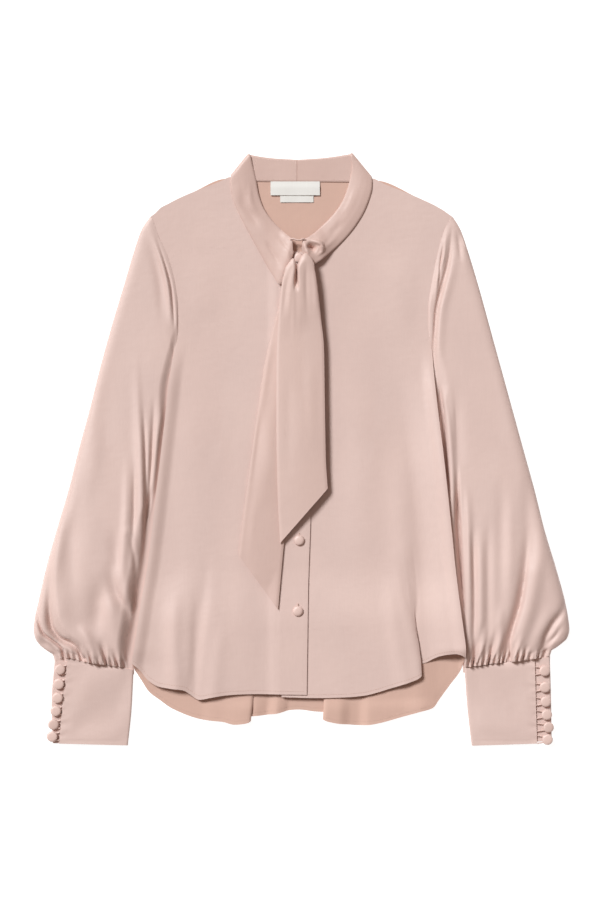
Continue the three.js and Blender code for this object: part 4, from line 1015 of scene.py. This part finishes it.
def tube(name, path, radius, finish, sides=10):
    """A slightly uneven cord along a path."""
    path = np.asarray(path, float)
    along = np.gradient(path, axis=0)
    along /= np.linalg.norm(along, axis=1, keepdims=True)
    up = np.array([0, 0, 1.0])
    out = np.cross(along, up)
    out /= np.linalg.norm(out, axis=1, keepdims=True)
    points = []
    for i in range(len(path)):
        for n in range(sides):
            angle = 2 * math.pi * n / sides
            swell = radius * (1 + 0.06 * math.sin(1.9 * i + angle))
            points.append(path[i] + swell * (math.cos(angle) * out[i] + math.sin(angle) * up))
    return build(name, points, ring_faces(0, len(path), sides), [finish])


# Profile of a shank button: radius and height
DOME = (
    (0, 0), (3.1, 0), (3.1, 1.5), (5.4, 1.8), (6.2, 2.3), (6.5, 3),
    (6.4, 3.7), (6, 4.3), (5.2, 4.75), (4.1, 4.95), (2.4, 5.1), (0, 5.15),
)
LOOP_RADIUS = 0.85
for sign, word, rows, buttons in (
    (-1, "left", LEFT_CUFF, LEFT_BUTTONS),
    (1, "right", RIGHT_CUFF, RIGHT_BUTTONS),
):
    grid = cuff_puckers(cuff_grid(sign, rows), sign, rows, buttons)
    cuff = cloth(f"cuff_{word}", "satin", grid, CUFF - 0.2, SATIN, SATIN)
    seat = CUFF / 2 + 2.1 + CUFF / 2 + GAP - 0.2
    for n, (x, y) in enumerate(buttons):
        tilt = (0.05 * (((n * 3) % 4) - 1.5), 0.06 * (((n * 5) % 3) - 1))
        button = revolved(f"cuff_{word}_button_{n + 1}", DOME, x, y, seat, tilt, COVER)
        dressed(button, "covered_trim", f"cuff_button_{word}_{n + 1}")
        v = np.clip((CUFF_TOP - y) / 100, 0, 1)
        edge = float(read(rows, "v", "lapx", v)) - sign * 1.2
        reach = max(sign * (x - edge), 0.6)
        path = [(edge, y + 4.7, seat + 1.9)]
        for angle in np.linspace(math.pi / 2, -math.pi / 2, 17):
            out = reach + 3.9 * math.cos(angle)
            path.append((edge + sign * out, y + 3 * math.sin(angle), seat + 1))
        path.append((edge, y - 4.7, seat + 1.9))
        loop = tube(f"cuff_{word}_loop_{n + 1}", path, LOOP_RADIUS, COVER)
        dressed(loop, "covered_trim", f"cuff_loop_{word}_{n + 1}")


# Neck band and ties
def strip(node, grid, finish):
    """A doubled strip, with its full thickness drawn in over the outermost columns as at a fold."""
    columns = grid.shape[1]
    t = np.arange(columns) / (columns - 1)
    profile = np.sqrt(np.clip(t / PRESSED, 0.12, 1)) * np.sqrt(np.clip((1 - t) / PRESSED, 0.12, 1))
    thick = np.broadcast_to(BAND * profile, grid.shape[:2])
    return cloth(node, "tie_satin", grid, thick, finish, finish)


def band_grid(rows, sign):
    t = np.linspace(0, 1, 7)[None, :]
    seam_x, seam_y, free_x, free_y, high, dome = (
        rows[c][:, None] for c in ("sx", "sy", "fx", "fy", "z", "dome")
    )
    drop = 1.1 * (1 - t) ** 4 + 1.8 * t * smooth((350 - free_y) / 20)
    turned = smooth((high - 3.6) / 0.8) * smooth((7.6 - high) / 1.5)
    z = high + dome * np.sin(np.pi * t) - drop * turned
    grid = np.stack([mix(seam_x, free_x, t), mix(seam_y, free_y, t), z], -1)
    grid = refine(grid, 11, 8)
    return grid if sign > 0 else grid[:, ::-1]


BAND_CREASES = {
    -1: (
        (-80, 300, -66, 268, -50, 238, 3, 4, 0.7),
        (-73, 318, -70, 296, -58, 278, -46, 262, 4.5, 5, -1.3),
        (-62, 322, -60, 296, -48, 276, 3.4, 4, 0.9),
        (-44, 252, -34, 236, -22, 214, 3, 3, -1.2),
        (-52, 250, -40, 226, -26, 204, 3.6, 3.6, 0.7),
        (-30, 258, -20, 246, -12, 232, 2.4, 2.4, -1),
        (-22, 246, -15, 234, -12, 214, 2.6, 2.2, 0.7),
    ),
    1: (
        (60, 322, 58, 300, 46, 280, 4, 6, 0.5),
        (52, 276, 42, 264, 30, 252, 4, 4, -0.7),
        (46, 256, 34, 246, 26, 238, 3, 3, 0.6),
        (3, 251, 14, 249.5, 25, 245, 26, 238, 16, 229, 1.8, 1.6, 3.6),
        (6, 246, 13, 241.5, 20, 238, 3.8, 3.8, -9),
        (3, 249, 6, 240, 10, 230, 1.8, 1.8, 2),
    ),
}
for sign, word, rows in ((-1, "left", LEFT_BAND), (1, "right", RIGHT_BAND)):
    grid = band_grid(rows, sign)
    x, y = grid[..., 0], grid[..., 1]
    across = np.linspace(0, 1, grid.shape[1])[None, :]
    falls = smooth((grid[..., 2] - 3.6) / 0.8) * np.sin(np.pi * across) ** 0.6
    grid[..., 2] += creases(BAND_CREASES[sign], x, y) * falls
    band = strip(f"neck_band_{word}", grid, SHADED_TIE)


BACK_TIE_CREASES = (
    (-30, 150, -42, 90, -50, 20, 4, 5, 0.9),
    (-44, 70, -52, 0, -60, -70, 4, 5, -0.5),
    (-50, -40, -58, -90, -62, -140, 5, 6, 0.5),
)
FRONT_TIE_CREASES = (
    (-14, 214, -18, 190, -22, 150, 2.6, 3.4, -0.9),
    (-8, 220, -12, 196, -15, 150, 2.6, 3, 0.8),
    (6, 226, 6, 200, 8, 150, 3, 3, -0.9),
    (14, 218, 17, 195, 19, 150, 3, 2.6, 0.8),
    (-3, 214, -5, 180, -4, 130, 4, 4, -0.7),
    (10, 120, 12, 60, 14, -20, 6, 7, 0.5),
    (-14, 100, -15, 40, -14, -60, 6, 7, -0.45),
)


def back_tie_grid():
    left, right = (curve(BACK_TIE_EDGE, "v", f"{hand}x", f"{hand}y") for hand in "lr")
    u, v = np.meshgrid(np.linspace(0, 1, 40), np.linspace(0, 1, 170))
    x, y = patch(u, v, straight(left, right, 0.0), straight(left, right, 1.0), left, right)
    proud = mix(1, 0.25, smooth((-10 - y) / 70))
    rise = 3.8 * proud * smooth(u / 0.46)
    z = np.maximum(over_height(x, y), FRONT_MID + LAYER) + CLOTH / 2 + GAP + BAND / 2 + rise
    return np.stack([x, y, z + creases(BACK_TIE_CREASES, x, y) * smooth(u / 0.1)], -1)


def tie_cleft(u, v):
    """Depth of the short cleft where the front tie end comes out of the knot."""
    away = (u - 0.42) / mix(0.05, 0.075, smooth(v / 0.1))
    return -8 * np.exp(-(away**4)) * (1 - smooth((v - 0.05) / 0.05))


def front_tie_grid():
    left, right = (curve(FRONT_TIE_EDGE, "v", f"{hand}x", f"{hand}y") for hand in "lr")
    top = curve(FRONT_TIE_TOP, "u", "x", "y")
    across = np.linspace(0, 1, 57)
    downs = np.concatenate([np.linspace(0.02, 0.2, 28)[:-1], np.linspace(0.2, 1, 110)])
    u, v = np.meshgrid(across, downs)
    x, y = patch(u, v, top, straight(left, right, 1.0), left, right)
    lie = mix(12.6, 9.8, smooth((10 - y) / 110))
    puff = 6.4 * (1 - smooth(v / 0.3)) * np.sin(np.pi * mix(0.12, 0.88, u))
    dome = 1.4 * np.sin(np.pi * u) * smooth(v / 0.2)
    soft = creases(FRONT_TIE_CREASES, x, y)
    body = np.stack([x, y, lie + puff + dome + tie_cleft(u, v) + soft], -1)
    tx, ty = top(across)
    notch = tie_cleft(across, 0 * across)
    roll = [
        np.stack([tx * 0.9, ty - 6.5, 13.2 + 0 * tx], -1),
        np.stack([tx, ty - 1.4, 14 + notch * 0.1], -1),
        np.stack([tx, ty - 0.4, 16 + notch * 0.3], -1),
        body[0],
    ]
    rolled = refine(np.array(roll), 4, 1)[:-1]
    return np.concatenate([rolled, body])


# The back tie end and the knot strand wear the darker copy of the tie satin, as painted shade
back_tie = strip("tie_end_back", back_tie_grid(), SHADED_TIE)
front_tie = strip("tie_end_front", front_tie_grid(), TIE)

# Strand of the band that crosses the top of the knot
STRAND = (
    (-13, 251.6, 10.4), (-9.4, 251.8, 12.2), (-5, 250.4, 12.6),
    (-1, 250.2, 12.8), (2.6, 251.6, 12.6), (6, 250, 11),
)
STRAND_RADIUS = 1.15
path = np.stack(through(np.array(STRAND), np.linspace(0, len(STRAND) - 1, 31)), -1)
dressed(tube("knot_strand", path, STRAND_RADIUS, SHADED_TIE, 14), "tie_satin")

# Front buttons, with the bar of the buttonhole just above each
FLAT_DOME = (
    (0, 0), (5.2, 0), (5.9, 0.4), (6.2, 1.1), (6, 1.9),
    (5.2, 2.6), (3.9, 3.1), (2.1, 3.35), (0, 3.4),
)
BAR_RADIUS = 0.55
for n, (x, y) in enumerate(FRONT_BUTTONS):
    seat = float(over_height(np.array([x], float), np.array([y], float))[0]) + SHEET / 2 + 0.35
    button = revolved(f"front_button_{n + 1}_cover", FLAT_DOME, x, y, seat, (0.02, -0.02), COVER)
    dressed(button, "covered_trim", f"front_button_{n + 1}")
    path = [(x + 0.2, y + d, seat + 0.15) for d in np.linspace(4, 9.2, 7)]
    dressed(tube(f"buttonhole_{n + 1}", path, BAR_RADIUS, THREAD, 8), "satin")


# Labels
def label_grid(x0, x1, y0, y1, z0, z1):
    """A slightly wavy tape between two corners, with its own heights at the top and lower edge."""
    u, v = np.meshgrid(np.linspace(0, 1, 40), np.linspace(0, 1, 16))
    x, y = mix(x0, x1, u), mix(y0, y1, v)
    z = mix(z0, z1, smooth(v * 2)) + 0.18 * np.sin(3 * np.pi * u + 0.6) * v
    return np.stack([x, y, z], -1)


main = shell("label_main_tape", label_grid(-36.6, 22.6, 321.5, 304.8, 1.9, 2.8), 0.5, PAPER, PAPER)
dressed(main, "label", "label_main")
small = shell("label_size_tape", label_grid(-25, 15, 310, 296.4, 1.7, 1.8), 0.45, PAPER, PAPER)
dressed(small, "label", "label_size")


# Floor, light and camera
FLOOR_GREY = (0.35, 0.35, 0.35, 1)
FLOOR_GLOW = 0.9
KEY_COLOUR = (0.935, 0.98, 1)
WORLD_COLOUR = (1, 0.8, 0.7, 1)
WORLD_STRENGTH = 0.26
EYE = (-0.0012, -0.0012, 3.006)  # in metres, straight above the garment


def floor():
    mesh = bpy.data.meshes.new("floor")
    mesh.from_pydata([(-3, -3, 0), (3, -3, 0), (3, 3, 0), (-3, 3, 0)], [], [(0, 1, 2, 3)])
    finish = bpy.data.materials.new("pale_floor")
    finish.use_nodes = True
    shader = finish.node_tree.nodes["Principled BSDF"]
    fill(shader, Base_Color=FLOOR_GREY, Roughness=0.9)
    fill(shader, Emission_Color=(1, 1, 1, 1), Emission_Strength=FLOOR_GLOW)
    mesh.materials.append(finish)
    put("floor", mesh)


def lamp(name, azimuth, elevation, spread, strength):
    """Soft light as from a large distant lamp. Azimuth 0 is +X and 90 is +Y."""
    light = bpy.data.lights.new(name, "SUN")
    light.angle = math.radians(spread)
    light.energy = strength
    light.color = KEY_COLOUR
    put(name, light).rotation_euler = (0, math.radians(90 - elevation), math.radians(azimuth))


floor()
lamp("key", azimuth=134, elevation=45, spread=19, strength=3.66)
world = bpy.data.worlds.new("studio")
bpy.context.scene.world = world
world.use_nodes = True
fill(world.node_tree.nodes["Background"], Color=WORLD_COLOUR, Strength=WORLD_STRENGTH)

camera = bpy.data.cameras.new("camera")
camera.lens = 100
camera.sensor_fit = "VERTICAL"
camera.sensor_height = 36
camera.clip_end = 20
eye = put("camera", camera)
eye.location = EYE
bpy.context.scene.camera = eye
bpy.context.scene.view_settings.view_transform = "Standard"
